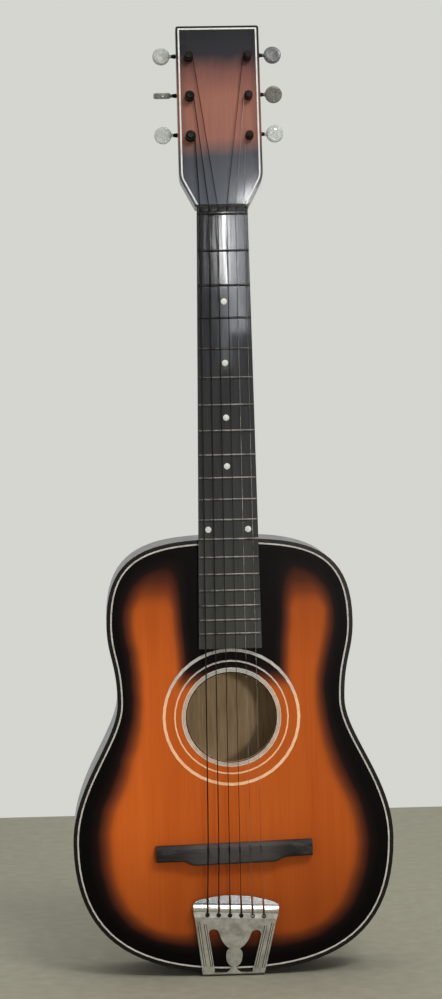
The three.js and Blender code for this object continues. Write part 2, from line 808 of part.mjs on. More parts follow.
/** The sheet's bends seen from the side, swept across the whole width. */
function tailSheet() {
  const { sheet, clearance, barY, roll, top, flange, shoulderZ } = tail;
  const centre = (roll.low + roll.high) / 2;
  const rollHalf = (roll.high - roll.low) / 2;
  const arc = (lift, shrink) =>
    Array.from({ length: 9 }, (_, i) => {
      const angle = (Math.PI * i) / 8;
      const z = centre - (rollHalf - shrink) * Math.cos(angle);
      return new THREE.Vector2(-barY - lift - (roll.rise - shrink) * Math.sin(angle), z);
    });
  const front = [
    new THREE.Vector2(flange, -gap - sheet),
    new THREE.Vector2(-clearance - sheet + 1, -gap - sheet),
    new THREE.Vector2(-clearance - sheet, 1 - gap - sheet),
    new THREE.Vector2(-barY - sheet, shoulderZ),
    ...arc(sheet, 0),
    new THREE.Vector2(-barY + 0.6, top + 1),
  ];
  const back = [
    new THREE.Vector2(-barY + 0.6 + sheet, top + 1),
    ...arc(0, sheet).reverse(),
    new THREE.Vector2(-barY, shoulderZ),
    new THREE.Vector2(-clearance, 1),
    new THREE.Vector2(-clearance, -gap),
    new THREE.Vector2(flange, -gap),
  ];
  const outlineYZ = [...front, ...back];
  const swept = new THREE.ExtrudeGeometry(new THREE.Shape(outlineYZ), { depth: 2 * tail.half, bevelEnabled: false });
  // The section is drawn with Y across and Z up, and sweeps along X.
  const turn = new THREE.Matrix4().makeBasis(
    new THREE.Vector3(0, 1, 0),
    new THREE.Vector3(0, 0, 1),
    new THREE.Vector3(1, 0, 0),
  );
  return swept.applyMatrix4(turn).translate(-tail.half, 0, 0);
}

/** The tailpiece seen from the front: string bar, two legs and the shield over an oval. */
function tailFront() {
  const { half, top, corner, shoulderZ, legOuterFoot, footHalf } = tail;
  const low = -5;
  const shape = new THREE.Shape();
  shape.moveTo(-legOuterFoot, low);
  shape.lineTo(legOuterFoot, low);
  shape.lineTo(legOuterFoot, 0);
  shape.lineTo(half - 1.5, shoulderZ);
  shape.lineTo(half, shoulderZ + 6);
  shape.lineTo(half, corner - 3);
  shape.quadraticCurveTo(half, corner, half - 5, corner + 1.5);
  shape.quadraticCurveTo(0, 2 * top - corner - 1.5, 5 - half, corner + 1.5);
  shape.quadraticCurveTo(-half, corner, -half, corner - 3);
  shape.lineTo(-half, shoulderZ + 6);
  shape.lineTo(1.5 - half, shoulderZ);
  shape.lineTo(-legOuterFoot, 0);
  for (const side of [1, -1]) {
    const x = (value) => side * value;
    const opening = new THREE.Path();
    opening.moveTo(x(tail.legInnerFoot), 0.4);
    opening.lineTo(x(tail.legInnerTop), tail.archTop - 5);
    opening.quadraticCurveTo(x(tail.legInnerTop), tail.archTop, x(tail.legInnerTop - 5), tail.archTop);
    opening.quadraticCurveTo(x(tail.shieldHalf + 1), tail.archTop, x(tail.shieldHalf), tail.archTop - 6);
    opening.quadraticCurveTo(x(tail.shieldHalf - 3), tail.neckZ + 5, x(tail.neckHalf), tail.neckZ);
    opening.quadraticCurveTo(x(tail.ovalHalf + 1.5), tail.neckZ - 2, x(tail.ovalHalf), tail.ovalZ);
    opening.quadraticCurveTo(x(tail.ovalHalf - 0.5), tail.ovalZ - 6, x(tail.ankleHalf), tail.ankleZ);
    opening.quadraticCurveTo(x(tail.ankleHalf + 0.2), tail.ankleZ - 3.5, x(footHalf), 0.4);
    shape.holes.push(opening);
  }
  return shape;
}

/** Where each string is hooked into the tailpiece, as points across and up. */
function tailHoles() {
  return stringXs(stringGap.tail).map(
    (x) => new THREE.Vector2(x * Math.cos(tail.tilt), tail.holeZ - x * Math.sin(tail.tilt)),
  );
}

function addTailpiece() {
  const { holeZ, slotWidth, top, tilt, footHeight } = tail;
  const bridgeXs = stringXs(stringGap.bridge);
  const holes = tailHoles().flatMap(({ x, y: z }, i) => {
    const lean = Math.atan2(bridgeXs[i] - x, bridge.z - z);
    const slot = block(-slotWidth / 2, -40, 0, slotWidth / 2, 20, top - holeZ + 10);
    slot.rotateY(lean).translate(x, 0, z);
    return [disc(x, z, tail.holeRadius, -40, 20, 8), slot];
  });
  const sheet = common(tailSheet(), slab(tailFront(), -40, 60, 6));
  const front = common(sheet, block(-100, -100, footHeight / 2, 100, 100, 200));
  front.translate(0, 0, -holeZ).rotateY(tilt).translate(0, 0, holeZ);
  const foot = common(sheet, block(-100, -100, -10, 100, 100, footHeight)).translate(tailFootShift, 0, 0);
  const whole = join(front, foot);
  addPiece(guitar, "tailpiece", cut(whole, ...holes, ...tailScrewHoles()), "steel");
  tailScrew.xs.forEach((across, i) => {
    const x = across + tailFootShift;
    const under = -gap - tail.sheet - gap;
    const profile = [
      [0, under - tailScrew.headHeight],
      [tailScrew.head * 0.7, under - tailScrew.headHeight],
      [tailScrew.head, under - tailScrew.headHeight * 0.35],
      [tailScrew.head, under],
      [tailScrew.radius, under],
      [tailScrew.radius, tailScrew.length - 2.5],
      [0, tailScrew.length],
    ].map(([radius, height]) => new THREE.Vector2(radius, height));
    const screw = new THREE.LatheGeometry(profile, 12).rotateX(Math.PI / 2);
    addPiece(guitar, `tail_screw_${i + 1}`, screw.translate(x, tailScrew.y, 0), "steel");
  });
}

/** Where string i meets its post: the three bass strings go to the bass side. */
function postPoint(i) {
  const side = i < 3 ? -1 : 1;
  const number = i < 3 ? i + 1 : 6 - i;
  const windingRadius = tuner.postRadius + 1.2;
  const local = new THREE.Vector3(side * (tuner.x - windingRadius), -5.5, postHeight(number) - 1);
  return local.applyMatrix4(headstock.matrix);
}

function addStrings() {
  const nutXs = stringXs(stringGap.nut);
  const bridgeXs = stringXs(stringGap.bridge);
  const holes = tailHoles();
  stringRadii.forEach((radius, i) => {
    const bridgeZ = bridgeCrestAt(bridgeXs[i]);
    const lift = radius + 0.1;
    const points = [
      new THREE.Vector3(holes[i].x, -tail.barY + 0.6, holes[i].y - 0.4),
      new THREE.Vector3(bridgeXs[i], -stringFloorAt(bridgeZ) - lift, bridgeZ),
      new THREE.Vector3(nutXs[i], -stringFloorAt(zeroFret) - lift, nut.start + nut.length),
      postPoint(i),
    ];
    const ballHalf = 1.6;
    const ball = rod(
      points[0].clone().add(new THREE.Vector3(-ballHalf, 0, 0)),
      points[0].clone().add(new THREE.Vector3(ballHalf, 0, 0)),
      1.75,
      8,
    );
    const finish = i < 4 ? "bronze" : "steel";
    addPiece(guitar, `string_${6 - i}`, join(bentRod(points, radius), ball), finish);
  });
}

// ---- Assembly -----------------------------------------------------------------------

addSoundboard();
addBack();
addRibs();
addBlocks();
addLinings();
addBraces();
addNeck();
addFingerboard();
addNut();
addHeadstockFace();
addTuners();
addBridge();
addTailpiece();
addStrings();

const bounds = new THREE.Box3().setFromObject(guitar, true);
const middle = bounds.getCenter(new THREE.Vector3());
guitar.position.set(-middle.x, -middle.y, -bounds.min.z);

const part = new THREE.Group();
part.add(guitar);
export default part;
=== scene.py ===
import json
import math

import bmesh
import bpy
from mathutils import Matrix, Vector
from mathutils.bvhtree import BVHTree


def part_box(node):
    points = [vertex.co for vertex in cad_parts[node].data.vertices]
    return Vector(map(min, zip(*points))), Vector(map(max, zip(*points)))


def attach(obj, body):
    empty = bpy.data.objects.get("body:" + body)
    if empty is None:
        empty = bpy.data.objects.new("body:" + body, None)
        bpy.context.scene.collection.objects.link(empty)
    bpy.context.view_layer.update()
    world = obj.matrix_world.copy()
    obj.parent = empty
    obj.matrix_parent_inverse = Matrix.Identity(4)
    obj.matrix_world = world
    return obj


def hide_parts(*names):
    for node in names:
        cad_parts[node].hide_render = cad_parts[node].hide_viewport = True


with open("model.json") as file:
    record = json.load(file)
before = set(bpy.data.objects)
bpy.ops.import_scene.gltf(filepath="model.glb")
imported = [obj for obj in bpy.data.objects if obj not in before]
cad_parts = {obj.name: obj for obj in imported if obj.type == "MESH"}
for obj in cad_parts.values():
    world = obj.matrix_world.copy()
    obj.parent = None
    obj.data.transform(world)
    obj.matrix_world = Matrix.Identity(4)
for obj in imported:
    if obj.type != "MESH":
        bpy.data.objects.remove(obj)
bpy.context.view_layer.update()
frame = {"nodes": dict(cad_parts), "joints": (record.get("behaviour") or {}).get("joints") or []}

# Acoustic guitar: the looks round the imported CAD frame. Metres, in the frame's own axes:
# X to the treble side, Y from the soundboard to the back, Z up along the neck.

MM = 0.001
BODY = "guitar"
SIDES = {"bass": -1, "treble": 1}
NUMBERS = (1, 2, 3)
TUNERS = [(side_name, number) for side_name in SIDES for number in NUMBERS]

nodes = frame["nodes"]


# ---- Places taken from the frame ----------------------------------------------------

top_low, top_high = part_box("edge_binding")
FACE_Y = top_low.y  # front face of the soundboard
TAIL_Z, SHOULDER_Z = top_low.z, top_high.z
board_low, board_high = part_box("fingerboard")
hole_low, hole_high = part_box("rosette_inner")
HOLE_CENTRE = (hole_low + hole_high) / 2
RING_RADIUS = (hole_high.x - hole_low.x) / 2  # outer edge of the rosette's inner ring
HOLE_RIM = RING_RADIUS - 4.3 * MM  # and its inner edge, where the soundhole begins
veneer_low, veneer_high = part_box("headstock_veneer")
joints = {joint["name"]: joint for joint in frame["joints"]}

SCALE_LENGTH = 650 * MM
NECK_JOINT_Z = SHOULDER_Z  # the twelfth fret
ZERO_FRET_Z = NECK_JOINT_Z + SCALE_LENGTH / 2
FRET_COUNT = 18
ROLL_LOW, ROLL_HIGH = 62.5 * MM, 71.5 * MM  # the tailpiece's string roll, above the tail edge


def fret_z(number):
    """Height of a fret, by the twelfth root of two."""
    return ZERO_FRET_Z - SCALE_LENGTH * (1 - 2 ** (-number / 12))


def outline_points():
    """Outer corners of the binding on the treble side, as (height, half width) from the tail up."""
    corners = {}
    for vertex in nodes["edge_binding"].data.vertices:
        if vertex.co.x > -1e-6:
            key = round(vertex.co.z, 5)
            corners[key] = max(corners.get(key, 0.0), vertex.co.x)
    rim = sorted(corners.items())
    widest = []
    nearby = 6  # corners to compare with on each side, to drop the binding's inner ones
    for i, (z, x) in enumerate(rim):
        below = max((w for _, w in rim[max(0, i - nearby) : i]), default=0)
        above = max((w for _, w in rim[i + 1 : i + 1 + nearby]), default=0)
        if x > min(below, above) - 1 * MM or i in (0, len(rim) - 1):
            widest.append((z, x))
    return widest


OUTLINE = outline_points()


def body_half_width(z):
    """Half the width of the top at a height, read off the binding's own corners."""
    for low, high in zip(OUTLINE, OUTLINE[1:]):
        if low[0] <= z <= high[0]:
            share = (z - low[0]) / max(high[0] - low[0], 1e-9)
            return low[1] + share * (high[1] - low[1])
    return 0.0


# ---- Node material kit --------------------------------------------------------------


class Shader:
    """A node material under construction, with short calls for the nodes used here."""

    def __init__(self, name, metallic=0.0, coat=0.0, coat_roughness=0.1, specular=0.5):
        self.material = bpy.data.materials.new(name)
        self.material.use_nodes = True
        self.tree = self.material.node_tree
        self.surface = self.tree.nodes["Principled BSDF"]
        self.surface.inputs["Metallic"].default_value = metallic
        self.surface.inputs["Coat Weight"].default_value = coat
        self.surface.inputs["Coat Roughness"].default_value = coat_roughness
        self.surface.inputs["Specular IOR Level"].default_value = specular

    def add(self, kind, **settings):
        node = self.tree.nodes.new(kind)
        for key, value in settings.items():
            setattr(node, key, value)
        return node

    def link(self, value, socket):
        """Joins an output to an input, or writes a plain value into it."""
        if isinstance(value, bpy.types.NodeSocket):
            self.tree.links.new(value, socket)
        else:
            socket.default_value = value

    def math(self, operation, *values):
        node = self.add("ShaderNodeMath", operation=operation)
        for value, socket in zip(values, node.inputs):
            self.link(value, socket)
        return node.outputs[0]

    def plus(self, first, second):
        return self.math("ADD", first, second)

    def minus(self, first, second):
        return self.math("SUBTRACT", first, second)

    def times(self, first, second):
        return self.math("MULTIPLY", first, second)

    def place(self):
        """Position of the surface in the part's own frame, as a vector and as X, Y and Z."""
        if not hasattr(self, "_place"):
            coordinates = self.add("ShaderNodeTexCoord")
            split = self.add("ShaderNodeSeparateXYZ")
            self.link(coordinates.outputs["Object"], split.inputs[0])
            self._place = (coordinates.outputs["Object"], *split.outputs)
        return self._place

    def facing(self):
        """The surface's direction as X, Y and Z."""
        if not hasattr(self, "_facing"):
            geometry = self.add("ShaderNodeNewGeometry")
            split = self.add("ShaderNodeSeparateXYZ")
            self.link(geometry.outputs["Normal"], split.inputs[0])
            self._facing = split.outputs
        return self._facing

    def stretched(self, x, y, z):
        """The position with each axis scaled, for grain that runs one way."""
        mapping = self.add("ShaderNodeMapping")
        mapping.inputs["Scale"].default_value = (x, y, z)
        self.link(self.place()[0], mapping.inputs["Vector"])
        return mapping.outputs[0]

    def noise(self, vector, scale, detail=3.0, roughness=0.55, distortion=0.0):
        node = self.add("ShaderNodeTexNoise")
        self.link(vector, node.inputs["Vector"])
        node.inputs["Scale"].default_value = scale
        node.inputs["Detail"].default_value = detail
        node.inputs["Roughness"].default_value = roughness
        node.inputs["Distortion"].default_value = distortion
        return node.outputs[0]

    def span(self, value, low, high, to_low=0.0, to_high=1.0, smooth=False):
        """Maps a value from one range to another, held at both ends."""
        kind = "SMOOTHSTEP" if smooth else "LINEAR"
        node = self.add("ShaderNodeMapRange", interpolation_type=kind, clamp=True)
        for item, socket in zip((value, low, high, to_low, to_high), node.inputs):
            self.link(item, socket)
        return node.outputs[0]

    def mix(self, share, first, second):
        node = self.add("ShaderNodeMix", data_type="RGBA")
        self.link(share, node.inputs[0])
        for colour, socket in ((first, node.inputs[6]), (second, node.inputs[7])):
            self.link(colour if isinstance(colour, bpy.types.NodeSocket) else (*colour, 1.0), socket)
        return node.outputs[2]

    def ramp(self, share, *stops):
        node = self.add("ShaderNodeValToRGB")
        self.link(share, node.inputs[0])
        elements = node.color_ramp.elements
        while len(elements) < len(stops):
            elements.new(0.5)
        for element, (position, colour) in zip(elements, stops):
            element.position = position
            element.color = (*colour, 1.0)
        return node.outputs[0]

    def colour(self, value):
        self.link(value, self.surface.inputs["Base Color"])

    def roughness(self, value):
        self.link(value, self.surface.inputs["Roughness"])

    def bump(self, height, strength, distance):
        """Raises the surface by a pattern, and gives back the shader for its material."""
        node = self.add("ShaderNodeBump")
        node.inputs["Strength"].default_value = strength
        node.inputs["Distance"].default_value = distance
        self.link(height, node.inputs["Height"])
        self.link(node.outputs[0], self.surface.inputs["Normal"])
        return self


def half_width_curve(shader, z):
    """Half the body's width at height z, from a curve through the binding's outline."""
    node = shader.add("ShaderNodeFloatCurve")
    length = SHOULDER_Z - TAIL_Z
    reach = 0.2  # the width that the curve's full height stands for
    steps = 26  # closer together towards the tail and the shoulder, where the outline turns
    curve = node.mapping.curves[0]
    turns = [0.5 - 0.5 * math.cos(math.pi * i / steps) for i in range(steps + 1)]
    heights = [TAIL_Z + length * turn for turn in turns]
    shares = [((h - TAIL_Z) / length, body_half_width(h) / reach) for h in heights]
    shares[0] = (0.0, OUTLINE[0][1] / reach)
    while len(curve.points) < len(shares):
        curve.points.new(0.5, 0.5)
    for point, place in zip(curve.points, shares):
        point.location = place
        point.handle_type = "AUTO"
    node.mapping.update()
    shader.link(shader.math("DIVIDE", shader.minus(z, TAIL_Z), length), node.inputs["Value"])
    return shader.times(node.outputs[0], reach)


def edge_distance(shader):
    """About how far a point of the top lies inside the body's sides and tail."""
    _, x, _, z = shader.place()
    step = 2 * MM
    blend = 26 * MM  # how softly the sides and the tail run into each other
    here = half_width_curve(shader, z)
    above = half_width_curve(shader, shader.plus(z, step))
    slope = shader.math("DIVIDE", shader.minus(above, here), step)
    steep = shader.math("SQRT", shader.plus(shader.times(slope, slope), 1.0))
    across = shader.minus(here, shader.math("ABSOLUTE", x))
    sideways = shader.math("DIVIDE", across, steep)
    from_tail = shader.minus(z, TAIL_Z)
    return shader.math("SMOOTH_MIN", sideways, from_tail, blend)


# ---- Materials ----------------------------------------------------------------------


def bare_wood_colour(shader):
    """Pale brown wood with the grain along the neck."""
    grain = shader.noise(shader.stretched(60, 60, 6), 4.0, detail=5.0)
    fine = shader.noise(shader.stretched(400, 400, 14), 3.0)
    both = shader.plus(shader.times(grain, 0.7), shader.times(fine, 0.3))
    return shader.ramp(
        both,
        (0.32, (0.46, 0.31, 0.165)),
        (0.55, (0.64, 0.46, 0.265)),
        (0.72, (0.71, 0.53, 0.32)),
    )


def hole_radius(shader):
    """Distance from the middle of the soundhole, across the soundboard."""
    _, x, _, z = shader.place()
    across = shader.minus(x, HOLE_CENTRE.x)
    up = shader.minus(z, HOLE_CENTRE.z)
    across_squared = shader.times(across, across)
    up_squared = shader.times(up, up)
    return shader.math("SQRT", shader.plus(across_squared, up_squared))


def edge_share(shader, wobble):
    """0 in the black round the edge, rising to 1 where the orange is clear."""
    _, x, _, z = shader.place()
    # The black is wider round the lower bout, and a little wider on the treble side above it.
    upper = shader.span(z, TAIL_Z + 0.185, TAIL_Z + 0.265, smooth=True)
    wider = shader.times(shader.span(x, -0.04, 0.04), shader.times(upper, 2 * MM))
    inside = shader.minus(shader.plus(edge_distance(shader), wobble), wider)
    black_until = shader.span(upper, 0.0, 1.0, 14 * MM, 8 * MM)
    orange_from = shader.span(upper, 0.0, 1.0, 50 * MM, 35 * MM)
    return shader.span(inside, black_until, orange_from, smooth=True)


def column_share(shader, wobble):
    """0 in the dark column behind the fingerboard, which narrows and fades out in the rosette."""
    _, x, _, z = shader.place()
    beside = shader.minus(shader.math("ABSOLUTE", x), board_high.x)
    beside = shader.plus(beside, shader.times(wobble, 0.5))
    narrowing = shader.span(z, board_low.z - 30 * MM, board_low.z + 40 * MM, 4 * MM, 0.0, smooth=True)
    treble_side = shader.span(x, -1 * MM, 1 * MM, 0.0, 4.5 * MM)
    beside = shader.minus(shader.plus(beside, narrowing), treble_side)
    column = shader.span(beside, 9 * MM, 33 * MM, smooth=True)
    fade = shader.span(z, board_low.z - 50 * MM, board_low.z - 12 * MM, smooth=True)
    return shader.math("MAXIMUM", column, shader.minus(1.0, fade))


def painted_shade_and_tone(shader):
    """How light the orange is: painted shade darkens it towards the tail, where the light falls off;
    it is also darker towards the treble side and the shoulders.
    """
    _, x, _, z = shader.place()
    # Painted shade: the orange darkens towards the tail.
    tail = shader.span(z, TAIL_Z + 0.03, TAIL_Z + 0.17, 0.60, 1.0, smooth=True)
    treble = shader.span(x, -0.10, 0.10, 1.0, 0.80)
    shoulders = shader.span(z, HOLE_CENTRE.z + 0.05, SHOULDER_Z - 0.04, 1.0, 0.70)
    return shader.times(shader.times(tail, treble), shoulders)


def sunburst_material():
    """Orange spruce shaded to black round the edge and on both sides of the fingerboard."""
    shader = Shader("sunburst_lacquer", coat=0.03, coat_roughness=0.18, specular=0.06)
    z = shader.place()[3]
    facing_y = shader.facing()[1]
    drift = shader.noise(shader.stretched(9, 9, 9), 1.6, detail=2.0)
    wobble = shader.times(shader.minus(drift, 0.5), 10 * MM)
    shoulder = shader.span(shader.minus(SHOULDER_Z, z), 14 * MM, 72 * MM)
    burst = shader.times(edge_share(shader, wobble), shoulder)
    burst = shader.times(burst, column_share(shader, wobble))
    fine = shader.noise(shader.stretched(700, 100, 8), 1.0, detail=4.0)
    broad = shader.noise(shader.stretched(45, 30, 3), 1.0, detail=3.0)
    wood = shader.ramp(
        shader.plus(shader.times(fine, 0.35), shader.times(broad, 0.65)),
        (0.30, (0.53, 0.094, 0.011)),
        (0.52, (0.61, 0.118, 0.015)),
        (0.72, (0.68, 0.142, 0.020)),
    )
    shade = shader.ramp(
        burst,
        (0.00, (0.0012, 0.0006, 0.0006)),
        (0.22, (0.015, 0.005, 0.004)),
        (0.50, (0.145, 0.032, 0.011)),
        (0.76, (0.36, 0.073, 0.013)),
        (1.00, (0.61, 0.118, 0.015)),
    )
    front = shader.mix(shader.span(burst, 0.7, 1.0), shade, wood)
    # Mixed towards black: painted shade towards the tail, and darker towards the treble side and the
    # shoulders.
    front = shader.mix(painted_shade_and_tone(shader), (0.0, 0.0, 0.0), front)
    rim = shader.span(hole_radius(shader), HOLE_RIM, HOLE_RIM + 0.4 * MM)
    front = shader.mix(rim, (0.010, 0.007, 0.006), front)
    painted = shader.span(facing_y, -0.5, -0.4, 1.0, 0.0)
    shader.colour(shader.mix(painted, bare_wood_colour(shader), front))
    scuffs = shader.noise(shader.stretched(30, 30, 22), 2.0, detail=8.0, roughness=0.7)
    shader.roughness(shader.span(scuffs, 0.3, 0.75, 0.26, 0.42))
    ripple = shader.plus(shader.times(fine, 0.6), shader.times(scuffs, 0.4))
    return shader.bump(ripple, 0.10, 0.12 * MM).material


def black_lacquer_material(name, inner_wood):
    """Black gloss lacquer. The inner faces of a "back" or a "rib" are bare wood."""
    shader = Shader(name, coat=0.15, coat_roughness=0.12, specular=0.2)
    position, x, _, z = shader.place()
    facing_x, facing_y, facing_z = shader.facing()
    mottle = shader.noise(position, 35.0, detail=4.0)
    black = shader.ramp(mottle, (0.3, (0.0015, 0.001, 0.001)), (0.7, (0.004, 0.003, 0.0025)))
    inner = None
    if inner_wood == "back":
        inner = shader.span(facing_y, -0.5, -0.4, 1.0, 0.0)
    elif inner_wood == "rib":
        middle_z = (TAIL_Z + SHOULDER_Z) / 2
        across, up = shader.times(facing_x, x), shader.times(facing_z, shader.minus(z, middle_z))
        outwards = shader.plus(across, up)
        inner = shader.span(outwards, -1 * MM, 1 * MM, 1.0, 0.0)
    wear = shader.noise(position, 60.0, detail=8.0, roughness=0.7)
    gloss = shader.span(wear, 0.3, 0.75, 0.2, 0.38)
    if inner is not None:
        black = shader.mix(inner, black, bare_wood_colour(shader))
        gloss = shader.math("MAXIMUM", gloss, shader.times(inner, 0.8))
    shader.colour(black)
    shader.roughness(gloss)
    return shader.bump(wear, 0.08, 0.1 * MM).material


def neck_material():
    """Very dark brown gloss lacquer with the grain just showing."""
    shader = Shader("neck_lacquer", coat=0.5, coat_roughness=0.15)
    grain = shader.noise(shader.stretched(260, 260, 12), 1.0, detail=5.0)
    shader.colour(shader.ramp(grain, (0.3, (0.010, 0.006, 0.005)), (0.7, (0.034, 0.014, 0.010))))
    shader.roughness(shader.span(grain, 0.2, 0.8, 0.24, 0.4))
    return shader.bump(grain, 0.1, 0.1 * MM).material


def headstock_material():
    """Shaded veneer: pinkish orange in the middle and black at the top; the blue-grey at the nut is a
    painted reflection of the gloss.
    """
    shader = Shader("headstock_face", coat=0.3, coat_roughness=0.07, specular=0.12)
    _, x, _, z = shader.place()
    drift = shader.noise(shader.stretched(30, 10, 12), 1.5, detail=3.0)
    streaks = shader.noise(shader.stretched(300, 100, 10), 1.0, detail=4.0)
    bent = shader.plus(z, shader.times(shader.minus(drift, 0.5), 16 * MM))
    share = shader.span(bent, veneer_low.z, veneer_high.z)
    # The blue-grey stops at the nut end are a painted reflection; the orange and the black are the
    # veneer's own shading.
    colour = shader.ramp(
        share,
        (0.00, (0.085, 0.100, 0.125)),
        (0.16, (0.075, 0.085, 0.105)),
        (0.27, (0.070, 0.074, 0.092)),
        (0.37, (0.31, 0.125, 0.095)),
        (0.60, (0.33, 0.130, 0.090)),
        (0.74, (0.19, 0.075, 0.062)),
        (0.84, (0.022, 0.019, 0.026)),
        (1.00, (0.010, 0.013, 0.015)),
    )
    edge = shader.span(shader.math("ABSOLUTE", x), 0.028, 0.042, 1.0, 0.6, smooth=True)
    streaked = shader.times(edge, shader.span(streaks, 0.25, 0.75, 0.82, 1.0))
    shader.colour(shader.mix(streaked, (0.006, 0.005, 0.006), colour))
    shader.roughness(shader.span(drift, 0.3, 0.7, 0.24, 0.36))
    return shader.bump(drift, 0.1, 0.3 * MM).material


def board_material():
    """Black stained hardwood, polished by fingers near the nut and dull towards the body."""
    shader = Shader("ebonised_board", coat=0.5, specular=0.1)
    _, _, _, z = shader.place()
    pores = shader.noise(shader.stretched(700, 300, 24), 1.0, detail=5.0)
    broad = shader.noise(shader.stretched(60, 30, 9), 1.0, detail=3.0)
    both = shader.plus(shader.times(pores, 0.45), shader.times(broad, 0.55))
    fresh = shader.ramp(both, (0.3, (0.008, 0.008, 0.011)), (0.75, (0.030, 0.031, 0.040)))
    rubbed = shader.ramp(both, (0.3, (0.030, 0.031, 0.028)), (0.75, (0.066, 0.068, 0.060)))
    towards_body = shader.span(z, NECK_JOINT_Z - 0.09, ZERO_FRET_Z - 0.09, 1.0, 0.0)
    shader.colour(shader.mix(towards_body, fresh, rubbed))
    shader.roughness(shader.span(pores, 0.3, 0.7, 0.36, 0.52))
    scratches = shader.noise(shader.stretched(420, 100, 16), 1.0, detail=4.0)
    coat_roughness = shader.span(scratches, 0.38, 0.62, 0.022, 0.065)
    shader.link(coat_roughness, shader.surface.inputs["Coat Roughness"])
    relief = shader.plus(shader.times(pores, 0.35), broad)
    return shader.bump(relief, 0.3, 0.15 * MM).material


def bridge_material():
    """Black stained wood, rubbed grey in the middle where hands rest."""
    shader = Shader("worn_ebonised_wood", specular=0.15)
    pores = shader.noise(shader.stretched(40, 300, 600), 1.0, detail=5.0)
    rubbed = shader.noise(shader.stretched(45, 60, 160), 1.0, detail=6.0, roughness=0.65)
    base = shader.ramp(pores, (0.3, (0.012, 0.012, 0.012)), (0.7, (0.034, 0.031, 0.031)))
    worn = shader.span(rubbed, 0.5, 0.75, 0.0, 0.7)
    from_middle = shader.math("ABSOLUTE", shader.place()[1])
    handled = shader.span(from_middle, 30 * MM, 62 * MM, 0.55, 0.0, smooth=True)
    handled = shader.times(handled, shader.span(rubbed, 0.3, 0.6, 0.6, 1.0))
    worn = shader.math("MAXIMUM", worn, handled)
    shader.colour(shader.mix(worn, base, (0.115, 0.100, 0.098)))
    shader.roughness(shader.span(pores, 0.3, 0.7, 0.4, 0.6))
    return shader.bump(pores, 0.3, 0.25 * MM).material


def inlay_material(name, dark, light):
    """Pale plastic under lacquer, for strips and dots."""
    shader = Shader(name, coat=0.15, specular=0.3)
    blotch = shader.noise(shader.place()[0], 150.0, detail=5.0)
    shader.colour(shader.ramp(blotch, (0.3, dark), (0.7, light)))
    shader.roughness(shader.span(blotch, 0.3, 0.7, 0.36, 0.55))
    return shader.bump(blotch, 0.08, 0.08 * MM).material


def rosette_material():
    """Cream strips, tinted by the orange lacquer but not in the dark above the hole."""
    shader = Shader("rosette_strips", coat=0.15, specular=0.3)
    position, _, _, z = shader.place()
    blotch = shader.noise(position, 150.0, detail=5.0)
    tinted = shader.ramp(blotch, (0.3, (0.95, 0.50, 0.26)), (0.7, (1.0, 0.66, 0.39)))
    pale = shader.ramp(blotch, (0.3, (0.40, 0.38, 0.36)), (0.7, (0.66, 0.64, 0.60)))
    share = shader.span(z, HOLE_CENTRE.z + 8 * MM, HOLE_CENTRE.z + 46 * MM, smooth=True)
    inner = shader.span(hole_radius(shader), RING_RADIUS, RING_RADIUS + 2 * MM, 0.65, 0.0)
    tone = shader.mix(shader.math("MAXIMUM", share, inner), tinted, pale)
    for vein in (RING_RADIUS - 1.7 * MM, RING_RADIUS - 3.2 * MM):
        away = shader.math("ABSOLUTE", shader.minus(hole_radius(shader), vein))
        tone = shader.mix(shader.span(away, 0.1 * MM, 0.4 * MM, 0.3, 1.0), (0.10, 0.07, 0.055), tone)
    shader.colour(tone)
    shader.roughness(shader.span(blotch, 0.3, 0.7, 0.36, 0.55))
    return shader.bump(blotch, 0.08, 0.08 * MM).material


def plating(shader, marks):
    """Where plating is bright and where it is stained, with some of its fine marks."""
    stain = shader.noise(shader.place()[0], 90.0, detail=7.0, roughness=0.6)
    return shader.plus(shader.times(marks, 0.2), shader.times(stain, 0.8))


def steel_material(name, low, high, roughness):
    """Dulled plating, with fine marks and darker stains."""
    shader = Shader(name, metallic=1.0)
    marks = shader.noise(shader.stretched(300, 300, 300), 1.0, detail=4.0)
    share = plating(shader, marks)
    shader.colour(shader.ramp(share, (0.36, low), (0.60, high)))
    shader.roughness(shader.span(share, 0.3, 0.7, roughness + 0.14, roughness - 0.08))
    return shader.bump(marks, 0.08, 0.08 * MM).material


def tail_tilt():
    """How far the tailpiece is screwed on askew, from the lower ends of the outer strings."""
    bass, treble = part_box("string_6")[0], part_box("string_1")
    return math.atan2(bass.z - treble[0].z, treble[1].x - bass.x)


def tailpiece_material():
    """Dulled plating, with a painted highlight on the string roll, and dark on the lip above it."""
    shader = Shader("tailpiece_steel", metallic=1.0)
    _, x, _, z = shader.place()
    marks = shader.noise(shader.stretched(200, 200, 400), 1.0, detail=4.0)
    plate = shader.ramp(plating(shader, marks), (0.36, (0.44, 0.44, 0.41)), (0.60, (0.76, 0.76, 0.73)))
    height = shader.plus(z, shader.times(x, math.tan(tail_tilt())))
    on_roll = shader.span(height, TAIL_Z + ROLL_LOW, TAIL_Z + ROLL_LOW + 1 * MM)
    on_lip = shader.span(height, TAIL_Z + ROLL_HIGH - 0.5 * MM, TAIL_Z + ROLL_HIGH)
    # Painted highlight: the string roll is coloured near white where it catches the light.
    painted_highlight = shader.mix(on_roll, plate, (0.96, 0.97, 0.96))
    shader.colour(shader.mix(on_lip, painted_highlight, (0.17, 0.175, 0.175)))
    shader.roughness(shader.mix(on_roll, (0.38, 0.38, 0.38), (0.24, 0.24, 0.24)))
    return shader.bump(marks, 0.08, 0.08 * MM).material


